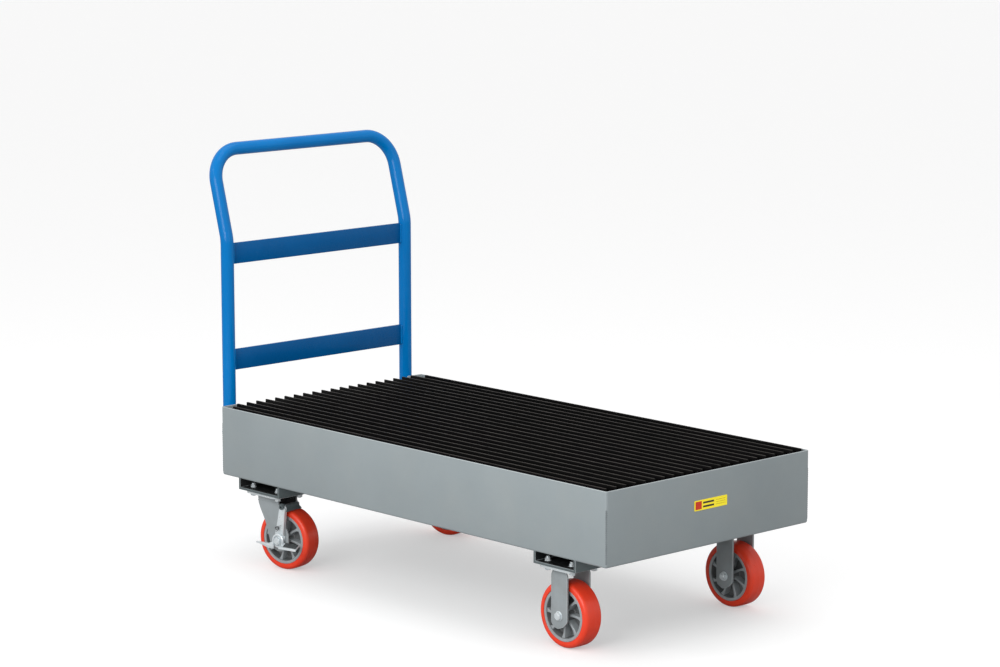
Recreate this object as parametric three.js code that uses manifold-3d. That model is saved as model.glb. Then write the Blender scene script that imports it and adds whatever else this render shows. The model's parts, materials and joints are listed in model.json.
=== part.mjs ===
// Two-drum spill containment truck: a folded steel sump tray with a lift-out bar grating deck,
// a bent tube push handle, two rigid casters and two swivel casters with side brakes.
// Millimetres, +Z up, +X towards the rigid casters, origin on the floor under the centre of
// the truck's overall box.
import * as THREE from 'three';
import { mergeVertices } from 'three/addons/utils/BufferGeometryUtils.js';
import Module from 'manifold-3d';

const wasm = await Module();
wasm.setup();

// ---------------------------------------------------------------- driving dimensions
const GAP = 0.3; // clearance between pieces that touch

const TRAY = { length: 1321, width: 645, height: 168, sheet: 3, bottom: 213.5, bend: 5 };
const HANDLE_END = { drop: 12, ear: 47 }; // low end wall between two full-height corner returns
const DECK = { proud: 3, barDepth: 25.4, barThick: 4.8, bars: 22, sideRoom: 12.6 };
const DECK_ENDS = { rear: 10, front: 13, corner: 32 }; // corner bars stop short of the handle bolts
const CROSS_ROD = { count: 5, size: 6, below: 8, endRoom: 50 };
const LEDGE = { leg: 25, thick: 3 };
const SUPPORT = { leg: 38, thick: 4, count: 2 };

const TUBE = { radius: 15.875, wall: 2.4, sides: 10 };
const HANDLE = {
  inset: 38, // post centre from the tray's side
  foot: 12, // post's lower end above the tray's bottom
  knee: 570, // where the vertical post and the leaning stretch meet, above the tray's bottom
  lean: THREE.MathUtils.degToRad(15.5),
  kneeRadius: 100,
  topRadius: 78,
  top: 781, // centre of the grip above the tray's bottom
};
const HANDLE_BOLT = { z: 96, radius: 4.6, hole: 4.9, head: 8, headThick: 6, nutThick: 7, tail: 4 };
const CROSSBAR = { height: 51, thick: 6.4, lower: 275, upper: 535 };

const WHEEL = { radius: 75, width: 50, tyre: 15, shoulder: 9, sides: 24 };
const CORE = { rimInner: 50, web: 9, hubRadius: 17, hubLength: 61 };
const BEARING = { inner: 6.65, outer: 10, length: 60.4 };
const AXLE = { radius: 6.35, head: 9.5, headThick: 6, sides: 12 };
const PLATE = { width: 102, thick: 6.2, top: 185.7, corner: 12 };
const BOLT = { y: 33.3, radius: 4.6, head: 7.5, headThick: 8, nut: 7, nutThick: 5.5, tail: 3.5 };
const CHANNEL = { height: 27.2, thick: 6, bottom: 186, inset: 4 };
const RIGID = {
  x: 1153,
  y: 59.4,
  channelWidth: 132,
  channelAt: 1158,
  plateLength: 102,
  boltX: 37.5,
  legWidth: 50,
  legThick: 5,
};
const SWIVEL = {
  x: 133.5,
  y: 60,
  offset: 39,
  plateLength: 114,
  boltX: 46,
  yaw: THREE.MathUtils.degToRad(11.9),
  channelWidth: 153,
  channelAt: 135.5,
  crown: 165,
  crownThick: 5,
  crownRadius: 46,
  legThick: 5,
  shoulder: 28,
  footRadius: 29,
  footAt: [36, 76],
  raceRadius: 42,
};
const KINGPIN = { radius: 9, nut: 14, nutThick: 6 };
const LABEL = { width: 104, height: 23, thick: 0.5, below: 73 };
const LEG_ROOM = 31.3; // from the wheel's mid plane to a leg's inner face
const BRAKE = {
  armThick: 3,
  armTop: 22, // front edge of the arm's upper end, ahead of the axle
  shoeX: 15,
  shoeReach: 16, // across the tread, past the wheel's mid plane
  shoeThick: 4,
  shoeHeight: 12,
  shoeGap: 0.4, // shoe's lower edge above the wheel's top, released
  stroke: 1.6,
  pedalThick: 4,
  pedalReach: 62,
};

// ---------------------------------------------------------------- derived places
const overhang = (() => {
  const rise = HANDLE.top - HANDLE.knee;
  const back = rise * Math.tan(HANDLE.lean);
  return GAP + TUBE.radius + back + TUBE.radius; // handle behind the tray's end wall
})();
const labelStandoff = GAP + LABEL.thick;
const rearX = (overhang - TRAY.length - labelStandoff) / 2; // outer face of the handle end
const frontX = rearX + TRAY.length;
const halfWidth = TRAY.width / 2;
const rimZ = TRAY.bottom + TRAY.height;
const floorZ = TRAY.bottom + TRAY.sheet;
const postX = rearX - GAP - TUBE.radius;
const postY = halfWidth - HANDLE.inset;
const innerHalf = halfWidth - TRAY.sheet - GAP;
const deckTop = rimZ + DECK.proud;
const seatZ = deckTop - DECK.barDepth - GAP; // top of the ledges that carry the deck

// ---------------------------------------------------------------- materials
function paint(color, roughness, metalness) {
  return new THREE.MeshStandardMaterial({ color, roughness, metalness });
}
const MATERIAL = {
  greyPaint: paint(0x9ca4a6, 0.5, 0.1),
  bluePaint: paint(0x007dc3, 0.35, 0.1),
  deckPaint: paint(0x14110f, 0.6, 0.1),
  zinc: paint(0xcfdde2, 0.35, 0.9),
  polyurethane: paint(0xf0502f, 0.4, 0),
  coreMetal: paint(0x999ca0, 0.5, 0.6),
  bearingSteel: paint(0x6d7073, 0.35, 0.9),
  label: paint(0xfade2d, 0.4, 0),
};

// ---------------------------------------------------------------- solids
/** Turns a closed geometry into a solid that can be cut and joined. */
function solidOf(geometry) {
  const bare = geometry.clone();
  bare.deleteAttribute('normal');
  bare.deleteAttribute('uv');
  const merged = mergeVertices(bare, 1e-4);
  const mesh = new wasm.Mesh({
    numProp: 3,
    vertProperties: new Float32Array(merged.attributes.position.array),
    triVerts: new Uint32Array(merged.index.array),
  });
  return new wasm.Manifold(mesh);
}

/** Turns a solid back into a geometry. */
function geometryOf(solid) {
  const { vertProperties, triVerts } = solid.getMesh();
  const geometry = new THREE.BufferGeometry();
  geometry.setAttribute('position', new THREE.BufferAttribute(vertProperties, 3));
  geometry.setIndex(new THREE.BufferAttribute(triVerts, 1));
  const flat = geometry.toNonIndexed();
  flat.computeVertexNormals();
  return flat;
}

function join(...geometries) {
  return geometryOf(geometries.map(solidOf).reduce((whole, part) => whole.add(part)));
}

function cut(geometry, ...tools) {
  return geometryOf(tools.map(solidOf).reduce((whole, tool) => whole.subtract(tool), solidOf(geometry)));
}

/** A box from its lowest to its highest corner. */
function block(low, high) {
  const size = high.map((value, i) => value - low[i]);
  const middle = high.map((value, i) => (value + low[i]) / 2);
  return new THREE.BoxGeometry(...size).translate(...middle);
}

/** A cylinder along Z whose flats, not corners, hold the radius at the bottom and sides. */
function rod(radius, fromZ, toZ, sides = AXLE.sides) {
  const geometry = new THREE.CylinderGeometry(radius, radius, toZ - fromZ, sides);
  return geometry.rotateX(Math.PI / 2).translate(0, 0, (fromZ + toZ) / 2);
}

/** A cylinder along Y. */
function rodY(radius, fromY, toY, sides = AXLE.sides) {
  const geometry = new THREE.CylinderGeometry(radius, radius, toY - fromY, sides);
  return geometry.rotateY(Math.PI / sides).translate(0, (fromY + toY) / 2, 0);
}

/** A closed profile of [x, z] points, drawn out along Y between two places. */
function drawnAlongY(points, fromY, toY) {
  const shape = new THREE.Shape(points.map(([x, z]) => new THREE.Vector2(x, z)));
  const geometry = new THREE.ExtrudeGeometry(shape, { depth: toY - fromY, bevelEnabled: false });
  return geometry.rotateX(Math.PI / 2).translate(0, toY, 0);
}

/** A ring turned about Y from a closed profile of [radius, y] points. */
function turnedAboutY(profile, sides = WHEEL.sides) {
  const closed = [...profile, profile[0]].map(([r, y]) => new THREE.Vector2(r, y));
  return new THREE.LatheGeometry(closed, sides).rotateY(Math.PI / sides);
}

/** Radius of a polygon's corners when its flats lie at the given radius. */
function corner(radius, sides = WHEEL.sides) {
  return radius / Math.cos(Math.PI / sides);
}

// ---------------------------------------------------------------- scene graph
const truck = new THREE.Group();

function add(name, geometry, material, parent = truck) {
  const mesh = new THREE.Mesh(geometry, material);
  mesh.name = name;
  parent.add(mesh);
  return mesh;
}

// ---------------------------------------------------------------- sump tray
/** Outline of the tray's cross-section: a floor and two walls with bent lower corners. */
function trayOutline() {
  const shape = new THREE.Shape();
  const outer = TRAY.bend;
  const inner = TRAY.bend - TRAY.sheet;
  const side = halfWidth - TRAY.sheet;
  shape.moveTo(-halfWidth, rimZ);
  shape.lineTo(-halfWidth, TRAY.bottom + outer);
  shape.absarc(-halfWidth + outer, TRAY.bottom + outer, outer, Math.PI, Math.PI * 1.5, false);
  shape.lineTo(halfWidth - outer, TRAY.bottom);
  shape.absarc(halfWidth - outer, TRAY.bottom + outer, outer, Math.PI * 1.5, Math.PI * 2, false);
  shape.lineTo(halfWidth, rimZ);
  shape.lineTo(side, rimZ);
  shape.lineTo(side, floorZ + inner);
  shape.absarc(side - inner, floorZ + inner, inner, 0, -Math.PI / 2, true);
  shape.lineTo(-side + inner, floorZ);
  shape.absarc(-side + inner, floorZ + inner, inner, -Math.PI / 2, -Math.PI, true);
  shape.lineTo(-side, rimZ);
  return shape;
}

/** The folded sheet: floor, long walls, and the two corner returns at the handle end. */
function sumpTray() {
  const options = { depth: TRAY.length, bevelEnabled: false, curveSegments: 3 };
  const trough = new THREE.ExtrudeGeometry(trayOutline(), options)
    .rotateX(Math.PI / 2)
    .rotateZ(Math.PI / 2)
    .translate(rearX, 0, 0);
  const ears = [-1, 1].map((side) => {
    const outer = side * (halfWidth - 0.5);
    const inner = side * (halfWidth - HANDLE_END.ear);
    const low = [rearX, Math.min(outer, inner), TRAY.bottom + 1];
    const high = [rearX + TRAY.sheet, Math.max(outer, inner), rimZ];
    return block(low, high);
  });
  return cut(join(trough, ...ears), ...handleBoltHoles());
}

/** The bolts' holes through the corner returns; the bolts' height is above the tray's bottom. */
function handleBoltHoles() {
  return [-1, 1].map((side) => {
    const hole = rod(HANDLE_BOLT.hole, -10, 10, 8).rotateY(Math.PI / 2);
    return hole.translate(rearX, side * postY, TRAY.bottom + HANDLE_BOLT.z);
  });
}

function frontWall() {
  const low = [frontX - TRAY.sheet, -innerHalf, floorZ + GAP];
  const wall = block(low, [frontX, innerHalf, rimZ]);
  return cut(wall, ...[-1, 1].map((side) => cornerRelief(side)));
}

/** Clears the tray's bent lower corner out of an end wall. */
function cornerRelief(side) {
  const inner = TRAY.bend - TRAY.sheet + GAP;
  const tool = new THREE.BoxGeometry(20, inner * 2, inner * 2);
  return tool.rotateX(Math.PI / 4).translate(frontX - TRAY.sheet / 2, side * innerHalf, floorZ + GAP);
}

function handleEndWall() {
  const reach = halfWidth - HANDLE_END.ear - GAP;
  const low = [rearX, -reach, floorZ + GAP];
  return block(low, [rearX + TRAY.sheet, reach, rimZ - HANDLE_END.drop]);
}

/** An angle across the tray, its flat leg up, its upright leg on the given side. */
function crossAngle(x, towards, leg, thick) {
  const far = x + towards * leg;
  const outline = [
    [x, seatZ],
    [x, seatZ - leg],
    [x + towards * thick, seatZ - leg],
    [x + towards * thick, seatZ - thick],
    [far, seatZ - thick],
    [far, seatZ],
  ];
  const points = towards > 0 ? outline : outline.reverse();
  return drawnAlongY(points, -innerHalf, innerHalf);
}

function deckSupports() {
  const rear = rearX + TRAY.sheet + GAP;
  const front = frontX - TRAY.sheet - GAP;
  add('rear_ledge', crossAngle(rear, 1, LEDGE.leg, LEDGE.thick), MATERIAL.greyPaint);
  add('front_ledge', crossAngle(front, -1, LEDGE.leg, LEDGE.thick), MATERIAL.greyPaint);
  for (let i = 1; i <= SUPPORT.count; i += 1) {
    const x = rearX + (TRAY.length * i) / (SUPPORT.count + 1);
    const angle = crossAngle(x - SUPPORT.leg / 2, 1, SUPPORT.leg, SUPPORT.thick);
    add(`cross_support_${i}`, angle, MATERIAL.greyPaint);
  }
}

/** The lift-out deck: bearing bars along the tray, tied by cross rods below their tops. */
function deckGrating() {
  const pitch = (TRAY.width - 2 * DECK.sideRoom) / (DECK.bars - 1);
  const front = frontX - DECK_ENDS.front;
  const pieces = [];
  for (let i = 0; i < DECK.bars; i += 1) {
    const y = -halfWidth + DECK.sideRoom + i * pitch;
    const edge = i === 0 || i === DECK.bars - 1;
    const rear = rearX + (edge ? DECK_ENDS.corner : DECK_ENDS.rear);
    const low = [rear, y - DECK.barThick / 2, deckTop - DECK.barDepth];
    pieces.push(block(low, [front, y + DECK.barThick / 2, deckTop]));
  }
  const reach = halfWidth - DECK.sideRoom;
  const first = rearX + DECK_ENDS.corner + CROSS_ROD.endRoom;
  const step = (front - CROSS_ROD.endRoom - first) / (CROSS_ROD.count - 1);
  for (let i = 0; i < CROSS_ROD.count; i += 1) {
    const x = first + i * step;
    const high = deckTop - CROSS_ROD.below;
    const half = CROSS_ROD.size / 2;
    pieces.push(block([x - half, -reach, high - CROSS_ROD.size], [x + half, reach, high]));
  }
  return join(...pieces);
}

// ---------------------------------------------------------------- handle
/** A circular arc from a centre, leaving along `start` and turning towards `inward`. */
class Bend extends THREE.Curve {
  constructor(from, start, inward, radius, angle) {
    super();
    this.radius = radius;
    this.angle = angle;
    this.start = start;
    this.inward = inward;
    this.centre = from.clone().addScaledVector(inward, radius);
  }

  getPoint(t) {
    const turn = this.angle * t;
    return this.centre
      .clone()
      .addScaledVector(this.inward, -this.radius * Math.cos(turn))
      .addScaledVector(this.start, this.radius * Math.sin(turn));
  }

  heading() {
    return this.start
      .clone()
      .multiplyScalar(Math.cos(this.angle))
      .addScaledVector(this.inward, Math.sin(this.angle));
  }
}

/** A route whose stations are shared out by piece, so straight runs take one step each. */
class TubeRoute extends THREE.Curve {
  constructor() {
    super();
    this.spans = [];
  }

  add(curve, steps) {
    for (let i = 0; i < steps; i += 1) {
      this.spans.push({ curve, from: i / steps, to: (i + 1) / steps });
    }
  }

  getUtoTmapping(u) {
    return u;
  }

  getPoint(t) {
    const place = Math.min(t * this.spans.length, this.spans.length - 1e-9);
    const span = this.spans[Math.floor(place)];
    return span.curve.getPoint(THREE.MathUtils.lerp(span.from, span.to, place % 1));
  }
}

/** The handle's centre line, from one post's foot over the grip to the other foot. */
function handleRoute() {
  const up = new THREE.Vector3(0, 0, 1);
  const back = new THREE.Vector3(-1, 0, 0);
  const across = new THREE.Vector3(0, 1, 0);
  const foot = new THREE.Vector3(postX, -postY, TRAY.bottom + HANDLE.foot);
  const tangent = HANDLE.kneeRadius * Math.tan(HANDLE.lean / 2);
  const kneeStart = new THREE.Vector3(postX, -postY, TRAY.bottom + HANDLE.knee - tangent);
  const knee = new Bend(kneeStart, up, back, HANDLE.kneeRadius, HANDLE.lean);
  const kneeEnd = knee.getPoint(1);
  const leaning = knee.heading();
  const topZ = TRAY.bottom + HANDLE.top;
  const run = (topZ - kneeEnd.z) / Math.cos(HANDLE.lean) - HANDLE.topRadius;
  const bendStart = kneeEnd.clone().addScaledVector(leaning, run);
  const bend = new Bend(bendStart, leaning, across, HANDLE.topRadius, Math.PI / 2);
  const half = [
    [new THREE.LineCurve3(foot, kneeStart), 1],
    [knee, 3],
    [new THREE.LineCurve3(kneeEnd, bendStart), 1],
    [bend, 6],
  ];
  const gripStart = bend.getPoint(1);
  const gripEnd = gripStart.clone().setY(-gripStart.y);
  const route = new TubeRoute();
  half.forEach(([curve, steps]) => route.add(curve, steps));
  route.add(new THREE.LineCurve3(gripStart, gripEnd), 1);
  half.reverse().forEach(([curve, steps]) => route.add(mirrored(curve), steps));
  return route;
}

/** The same curve on the other side of the truck, run the other way. */
function mirrored(curve) {
  const twin = new THREE.Curve();
  twin.getPoint = (t) => {
    const point = curve.getPoint(1 - t);
    return point.setY(-point.y);
  };
  return twin;
}

function tubeSection(outer, inner, sides) {
  const ring = (radius) =>
    Array.from({ length: sides }, (_, i) => {
      const angle = ((i + 0.5) * 2 * Math.PI) / sides;
      return new THREE.Vector2(radius * Math.cos(angle), radius * Math.sin(angle));
    });
  const shape = new THREE.Shape(ring(outer));
  shape.holes.push(new THREE.Path(ring(inner)));
  return shape;
}

function handleTube() {
  const route = handleRoute();
  const section = tubeSection(TUBE.radius, TUBE.radius - TUBE.wall, TUBE.sides);
  const options = { steps: route.spans.length, extrudePath: route, bevelEnabled: false };
  const tube = new THREE.ExtrudeGeometry(section, options);
  const holes = [-1, 1].map((side) => {
    const hole = rod(HANDLE_BOLT.hole, -30, 30, 8).rotateY(Math.PI / 2);
    return hole.translate(postX, side * postY, TRAY.bottom + HANDLE_BOLT.z);
  });
  return cut(tube, ...holes);
}

/** A flat bar between the posts, its ends coped to the tube. */
function crossbar(centre) {
  const z = TRAY.bottom + centre;
  const half = CROSSBAR.thick / 2;
  const low = [postX - half, -postY, z - CROSSBAR.height / 2];
  const bar = block(low, [postX + half, postY, z + CROSSBAR.height / 2]);
  const copes = [-1, 1].map((side) => {
    const cope = rod(TUBE.radius + GAP, z - CROSSBAR.height, z + CROSSBAR.height, 24);
    return cope.translate(postX, side * postY, 0);
  });
  return cut(bar, ...copes);
}

/** A hex bolt through the post and the tray's corner return, with its nut inside the tray. */
function handleBolt(side) {
  const outside = -2 * TUBE.radius - GAP;
  const { radius, headThick, nutThick, tail } = HANDLE_BOLT;
  const nutEnd = TRAY.sheet + GAP + nutThick;
  const shank = rod(radius, outside - GAP - 1, nutEnd + tail, 8);
  const head = rod(HANDLE_BOLT.head, outside - GAP - headThick, outside - GAP, 6);
  const nut = rod(HANDLE_BOLT.head, TRAY.sheet + GAP, nutEnd, 6);
  const bolt = join(shank, head, nut).rotateY(Math.PI / 2);
  return bolt.translate(rearX, side * postY, TRAY.bottom + HANDLE_BOLT.z);
}

// ---------------------------------------------------------------- caster channels
/** Bolt places of one caster, about its plate's centre. */
function boltPlaces(caster) {
  return [-1, 1].flatMap((i) => [-1, 1].map((j) => [i * caster.boltX, j * BOLT.y]));
}

/** A channel across the tray's underside, flanges up, drilled for both its casters. */
function casterChannel(caster) {
  const x0 = rearX + caster.channelAt - caster.channelWidth / 2;
  const x1 = x0 + caster.channelWidth;
  const { thick, bottom, inset } = CHANNEL;
  const top = bottom + CHANNEL.height;
  const outline = [
    [x0, top],
    [x0, bottom],
    [x1, bottom],
    [x1, top],
    [x1 - thick, top],
    [x1 - thick, bottom + thick],
    [x0 + thick, bottom + thick],
    [x0 + thick, top],
  ];
  const reach = halfWidth - inset;
  const channel = drawnAlongY(outline, -reach, reach);
  const holes = [-1, 1].flatMap((side) =>
    boltPlaces(caster).map(([x, y]) => {
      const hole = rod(BOLT.radius + GAP, bottom - 5, bottom + thick + 5, 8);
      return hole.translate(rearX + caster.x + x, side * (halfWidth - caster.y) + y, 0);
    }),
  );
  return cut(channel, ...holes);
}

/** A hex bolt from under the caster plate, its nut and tail inside the channel. */
function mountBolt() {
  const plateBottom = PLATE.top - PLATE.thick;
  const webTop = CHANNEL.bottom + CHANNEL.thick;
  const head = rod(BOLT.head, plateBottom - GAP - BOLT.headThick, plateBottom - GAP, 6);
  const nut = rod(BOLT.nut, webTop + GAP, webTop + GAP + BOLT.nutThick, 6);
  const shank = rod(BOLT.radius, plateBottom - GAP - 1, webTop + BOLT.nutThick + BOLT.tail, 8);
  return join(shank, head, nut);
}

// ---------------------------------------------------------------- wheels
function tyre() {
  const outer = corner(WHEEL.radius);
  const inner = corner(WHEEL.radius - WHEEL.tyre + GAP);
  const half = WHEEL.width / 2;
  const s = WHEEL.shoulder;
  return turnedAboutY([
    [inner, -half],
    [outer - s, -half],
    [outer, -half + s],
    [outer, half - s],
    [outer - s, half],
    [inner, half],
  ]);
}

/** Cast wheel body: rim, recessed web and hub. */
function wheelCore() {
  const rim = corner(WHEEL.radius - WHEEL.tyre);
  const rimInner = corner(CORE.rimInner);
  const bore = corner(BEARING.outer + GAP);
  const hub = corner(CORE.hubRadius);
  const half = WHEEL.width / 2 - 1;
  const hubHalf = CORE.hubLength / 2;
  const web = CORE.web / 2;
  return turnedAboutY([
    [bore, -hubHalf],
    [hub, -hubHalf],
    [hub + 3, -web],
    [rimInner - 4, -web],
    [rimInner, -half],
    [rim, -half],
    [rim, half],
    [rimInner, half],
    [rimInner - 4, web],
    [hub + 3, web],
    [hub, hubHalf],
    [bore, hubHalf],
  ]);
}

function wheelBearing() {
  const half = BEARING.length / 2;
  return turnedAboutY(
    [
      [BEARING.inner, -half],
      [BEARING.outer, -half],
      [BEARING.outer, half],
      [BEARING.inner, half],
    ],
    AXLE.sides,
  );
}

/** Axle bolt along Y with a hex head on -Y and a nut on +Y, outside the given faces. */
function axleBolt(headFace, nutFace) {
  const shank = rodY(AXLE.radius, -headFace - GAP - 1, nutFace + AXLE.headThick + 5);
  const head = rodY(AXLE.head, -headFace - GAP - AXLE.headThick, -headFace - GAP, 6);
  const nut = rodY(AXLE.head, nutFace + GAP, nutFace + GAP + AXLE.headThick, 6);
  return join(shank, head, nut);
}

function addWheel(prefix, parent) {
  add(`${prefix}_tyre`, tyre(), MATERIAL.polyurethane, parent);
  add(`${prefix}_wheel_core`, wheelCore(), MATERIAL.coreMetal, parent);
  add(`${prefix}_bearing`, wheelBearing(), MATERIAL.bearingSteel, parent);
}

/** A rectangle about the origin from its half sides, with round corners. */
function roundedRectangle(halfX, halfY, radius) {
  const shape = new THREE.Shape();
  const turn = Math.PI / 2;
  const corners = [[1, 1], [-1, 1], [-1, -1], [1, -1]];
  shape.moveTo(halfX, halfY - radius);
  corners.forEach(([i, j], quarter) => {
    const centre = [i * (halfX - radius), j * (halfY - radius)];
    shape.absarc(...centre, radius, quarter * turn, (quarter + 1) * turn, false);
  });
  return shape;
}

function drilledPlate(caster) {
  const outline = roundedRectangle(caster.plateLength / 2, PLATE.width / 2, PLATE.corner);
  const plate = new THREE.ExtrudeGeometry(outline, {
    depth: PLATE.thick,
    bevelEnabled: false,
    curveSegments: 2,
  }).translate(0, 0, PLATE.top - PLATE.thick);
  const holes = boltPlaces(caster).map(([x, y]) =>
    rod(BOLT.radius + GAP, PLATE.top - 20, PLATE.top + 20, 8).translate(x, y, 0),
  );
  return cut(plate, ...holes);
}

// ---------------------------------------------------------------- rigid casters
/** Outline of one rigid leg: straight sides, chamfered shoulders and a round foot. */
function rigidLegOutline(top) {
  const half = RIGID.legWidth / 2;
  const chamfer = 7;
  const foot = [-150, -120, -90, -60, -30].map((degrees) => {
    const angle = THREE.MathUtils.degToRad(degrees);
    return [half * Math.cos(angle), WHEEL.radius - 2 + half * Math.sin(angle)];
  });
  return [
    [-half + chamfer, top],
    [-half, top - 2 * chamfer],
    [-half, WHEEL.radius - 2],
    ...foot,
    [half, WHEEL.radius - 2],
    [half, top - 2 * chamfer],
    [half - chamfer, top],
  ];
}

function rigidFrame() {
  const plateBottom = PLATE.top - PLATE.thick;
  const outline = rigidLegOutline(plateBottom + 1);
  const inner = LEG_ROOM;
  const outer = inner + RIGID.legThick;
  const legs = [drawnAlongY(outline, -outer, -inner), drawnAlongY(outline, inner, outer)];
  const bore = rodY(AXLE.radius + GAP, -60, 60).translate(0, 0, WHEEL.radius);
  return cut(join(drilledPlate(RIGID), ...legs), bore);
}

function addRigidCaster(prefix, side) {
  const caster = new THREE.Group();
  caster.position.set(rearX + RIGID.x, side * (halfWidth - RIGID.y), 0);
  truck.add(caster);
  add(`${prefix}_frame`, rigidFrame(), MATERIAL.greyPaint, caster);
  const wheel = new THREE.Group();
  wheel.position.z = WHEEL.radius;
  caster.add(wheel);
  addWheel(prefix, wheel);
  const face = LEG_ROOM + RIGID.legThick;
  const axle = axleBolt(face, face);
  if (side > 0) axle.rotateZ(Math.PI);
  add(`${prefix}_axle_bolt`, axle, MATERIAL.zinc, wheel);
  addMountBolts(prefix, RIGID, caster);
}

function addMountBolts(prefix, caster, parent) {
  boltPlaces(caster).forEach(([x, y], i) => {
    const bolt = add(`${prefix}_mount_bolt_${i + 1}`, mountBolt(), MATERIAL.zinc, parent);
    bolt.position.set(x, y, 0);
  });
}

// ---------------------------------------------------------------- swivel casters
/** Top plate with the upper ball race pressed down from it. */
function swivelPlate() {
  const plateBottom = PLATE.top - PLATE.thick;
  const race = rod(SWIVEL.raceRadius, raceSplit() + GAP / 2, plateBottom + 1, 24);
  return cut(join(drilledPlate(SWIVEL), race), rod(KINGPIN.radius + GAP, 140, 200));
}

function raceSplit() {
  return (SWIVEL.crown + SWIVEL.crownThick + PLATE.top - PLATE.thick) / 2;
}

/** Kingpin riveted through the plate, with its nut under the crown. */
function kingpin() {
  const { radius, nut, nutThick } = KINGPIN;
  const under = SWIVEL.crown - GAP;
  const shank = rod(radius, under - 1, PLATE.top - GAP);
  return join(shank, rod(nut, under - nutThick, under, 6));
}

/** Outline of one swivel leg: wide under the crown, drawn back to a round foot at the axle. */
function swivelLegOutline() {
  const top = SWIVEL.crown + 1;
  const axleX = SWIVEL.offset;
  const { footRadius } = SWIVEL;
  const [footX, footZ] = SWIVEL.footAt;
  const foot = [-165, -128, -90, -52, -15].map((degrees) => {
    const angle = THREE.MathUtils.degToRad(degrees);
    return [footX + footRadius * Math.cos(angle), footZ + footRadius * Math.sin(angle)];
  });
  return [
    [-SWIVEL.shoulder, top],
    [-SWIVEL.shoulder + 6, top - 16],
    [-7, WHEEL.radius + 43],
    [0, WHEEL.radius + 25],
    ...foot,
    [footX + footRadius - 2, WHEEL.radius + 20],
    [axleX + 2, top - 22],
    [axleX - 5, top],
  ];
}

/** Yoke: round crown with the lower ball race, and two legs. */
function swivelYoke() {
  const { crown, crownThick, crownRadius, raceRadius } = SWIVEL;
  const disc = rod(crownRadius, crown, crown + crownThick, 24);
  const race = rod(raceRadius - 3, crown + 1, raceSplit() - GAP / 2, 24);
  const inner = LEG_ROOM;
  const outer = inner + SWIVEL.legThick;
  const outline = swivelLegOutline();
  const legs = [drawnAlongY(outline, -outer, -inner), drawnAlongY(outline, inner, outer)];
  const web = block([-SWIVEL.shoulder, -outer, crown], [SWIVEL.offset - 5, outer, crown + crownThick]);
  const bore = rodY(AXLE.radius + GAP, -60, 60).translate(SWIVEL.offset, 0, WHEEL.radius);
  const pinHole = rod(KINGPIN.radius + GAP, 100, 200);
  return cut(join(disc, race, web, ...legs), pinHole, bore);
}

/** Brake arm beside the leg, hooked over the tyre to a shoe across it; axle at the origin. */
function brakeArm() {
  const face = LEG_ROOM + SWIVEL.legThick + GAP;
  const outer = face + BRAKE.armThick;
  const { armTop, shoeX, shoeGap, shoeThick } = BRAKE;
  const shoeBottom = WHEEL.radius + shoeGap;
  const shoeTop = shoeBottom + BRAKE.shoeHeight;
  const strap = [
    [-13, -6],
    [13, -6],
    [19, 18],
    [armTop, shoeBottom],
    [armTop, shoeTop],
    [shoeX - 8, shoeTop],
    [0, shoeBottom - 8],
    [-8, 18],
  ];
  const radius = AXLE.radius + GAP;
  const slot = join(
    rodY(radius, -60, 0),
    rodY(radius, -60, 0).translate(0, 0, BRAKE.stroke),
    block([-radius, -60, 0], [radius, 0, BRAKE.stroke]),
  );
  const plate = cut(drawnAlongY(strap, -outer, -face), slot);
  const shoe = block([shoeX, -face - 1, shoeBottom], [shoeX + shoeThick, BRAKE.shoeReach, shoeTop]);
  return join(plate, shoe);
}

/** Rocking foot pedal on the axle outside the arm: a boss and two wings; axle at the origin. */
function brakePedal() {
  const face = LEG_ROOM + SWIVEL.legThick + GAP + BRAKE.armThick + GAP;
  const outer = face + BRAKE.pedalThick;
  const reach = BRAKE.pedalReach;
  const boss = rodY(16, -outer, -face);
  const bar = block([-30, -outer, -12], [30, -face, -3]);
  const wings = [-1, 1].map((end) => {
    const inner = end * 24;
    const tip = end * reach;
    const low = [Math.min(inner, tip), -outer - 12, -11];
    return block(low, [Math.max(inner, tip), -face, -6]);
  });
  const bore = rodY(AXLE.radius + GAP, -60, 0);
  return cut(join(boss, bar, ...wings), bore);
}

function addSwivelCaster(prefix, side) {
  const caster = new THREE.Group();
  caster.position.set(rearX + SWIVEL.x, side * (halfWidth - SWIVEL.y), 0);
  truck.add(caster);
  add(`${prefix}_top_plate`, swivelPlate(), MATERIAL.greyPaint, caster);
  add(`${prefix}_kingpin`, kingpin(), MATERIAL.zinc, caster);
  addMountBolts(prefix, SWIVEL, caster);
  const turning = new THREE.Group();
  turning.rotation.z = SWIVEL.yaw;
  caster.add(turning);
  add(`${prefix}_yoke`, swivelYoke(), MATERIAL.greyPaint, turning);
  const wheel = new THREE.Group();
  wheel.position.set(SWIVEL.offset, 0, WHEEL.radius);
  turning.add(wheel);
  addWheel(prefix, wheel);
  const face = LEG_ROOM + SWIVEL.legThick;
  const brakeStack = 2 * GAP + BRAKE.armThick + BRAKE.pedalThick;
  add(`${prefix}_axle_bolt`, axleBolt(face + brakeStack, face), MATERIAL.zinc, wheel);
  add(`${prefix}_brake_arm`, brakeArm(), MATERIAL.zinc, wheel);
  add(`${prefix}_brake_pedal`, brakePedal(), MATERIAL.zinc, wheel);
}

// ---------------------------------------------------------------- name label
/** A thin blank plate in the middle of the front wall. */
function nameLabel() {
  const { width, height, thick, below } = LABEL;
  const x = frontX + GAP;
  const z = rimZ - below;
  return block([x, -width / 2, z - height / 2], [x + thick, width / 2, z + height / 2]);
}

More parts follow.
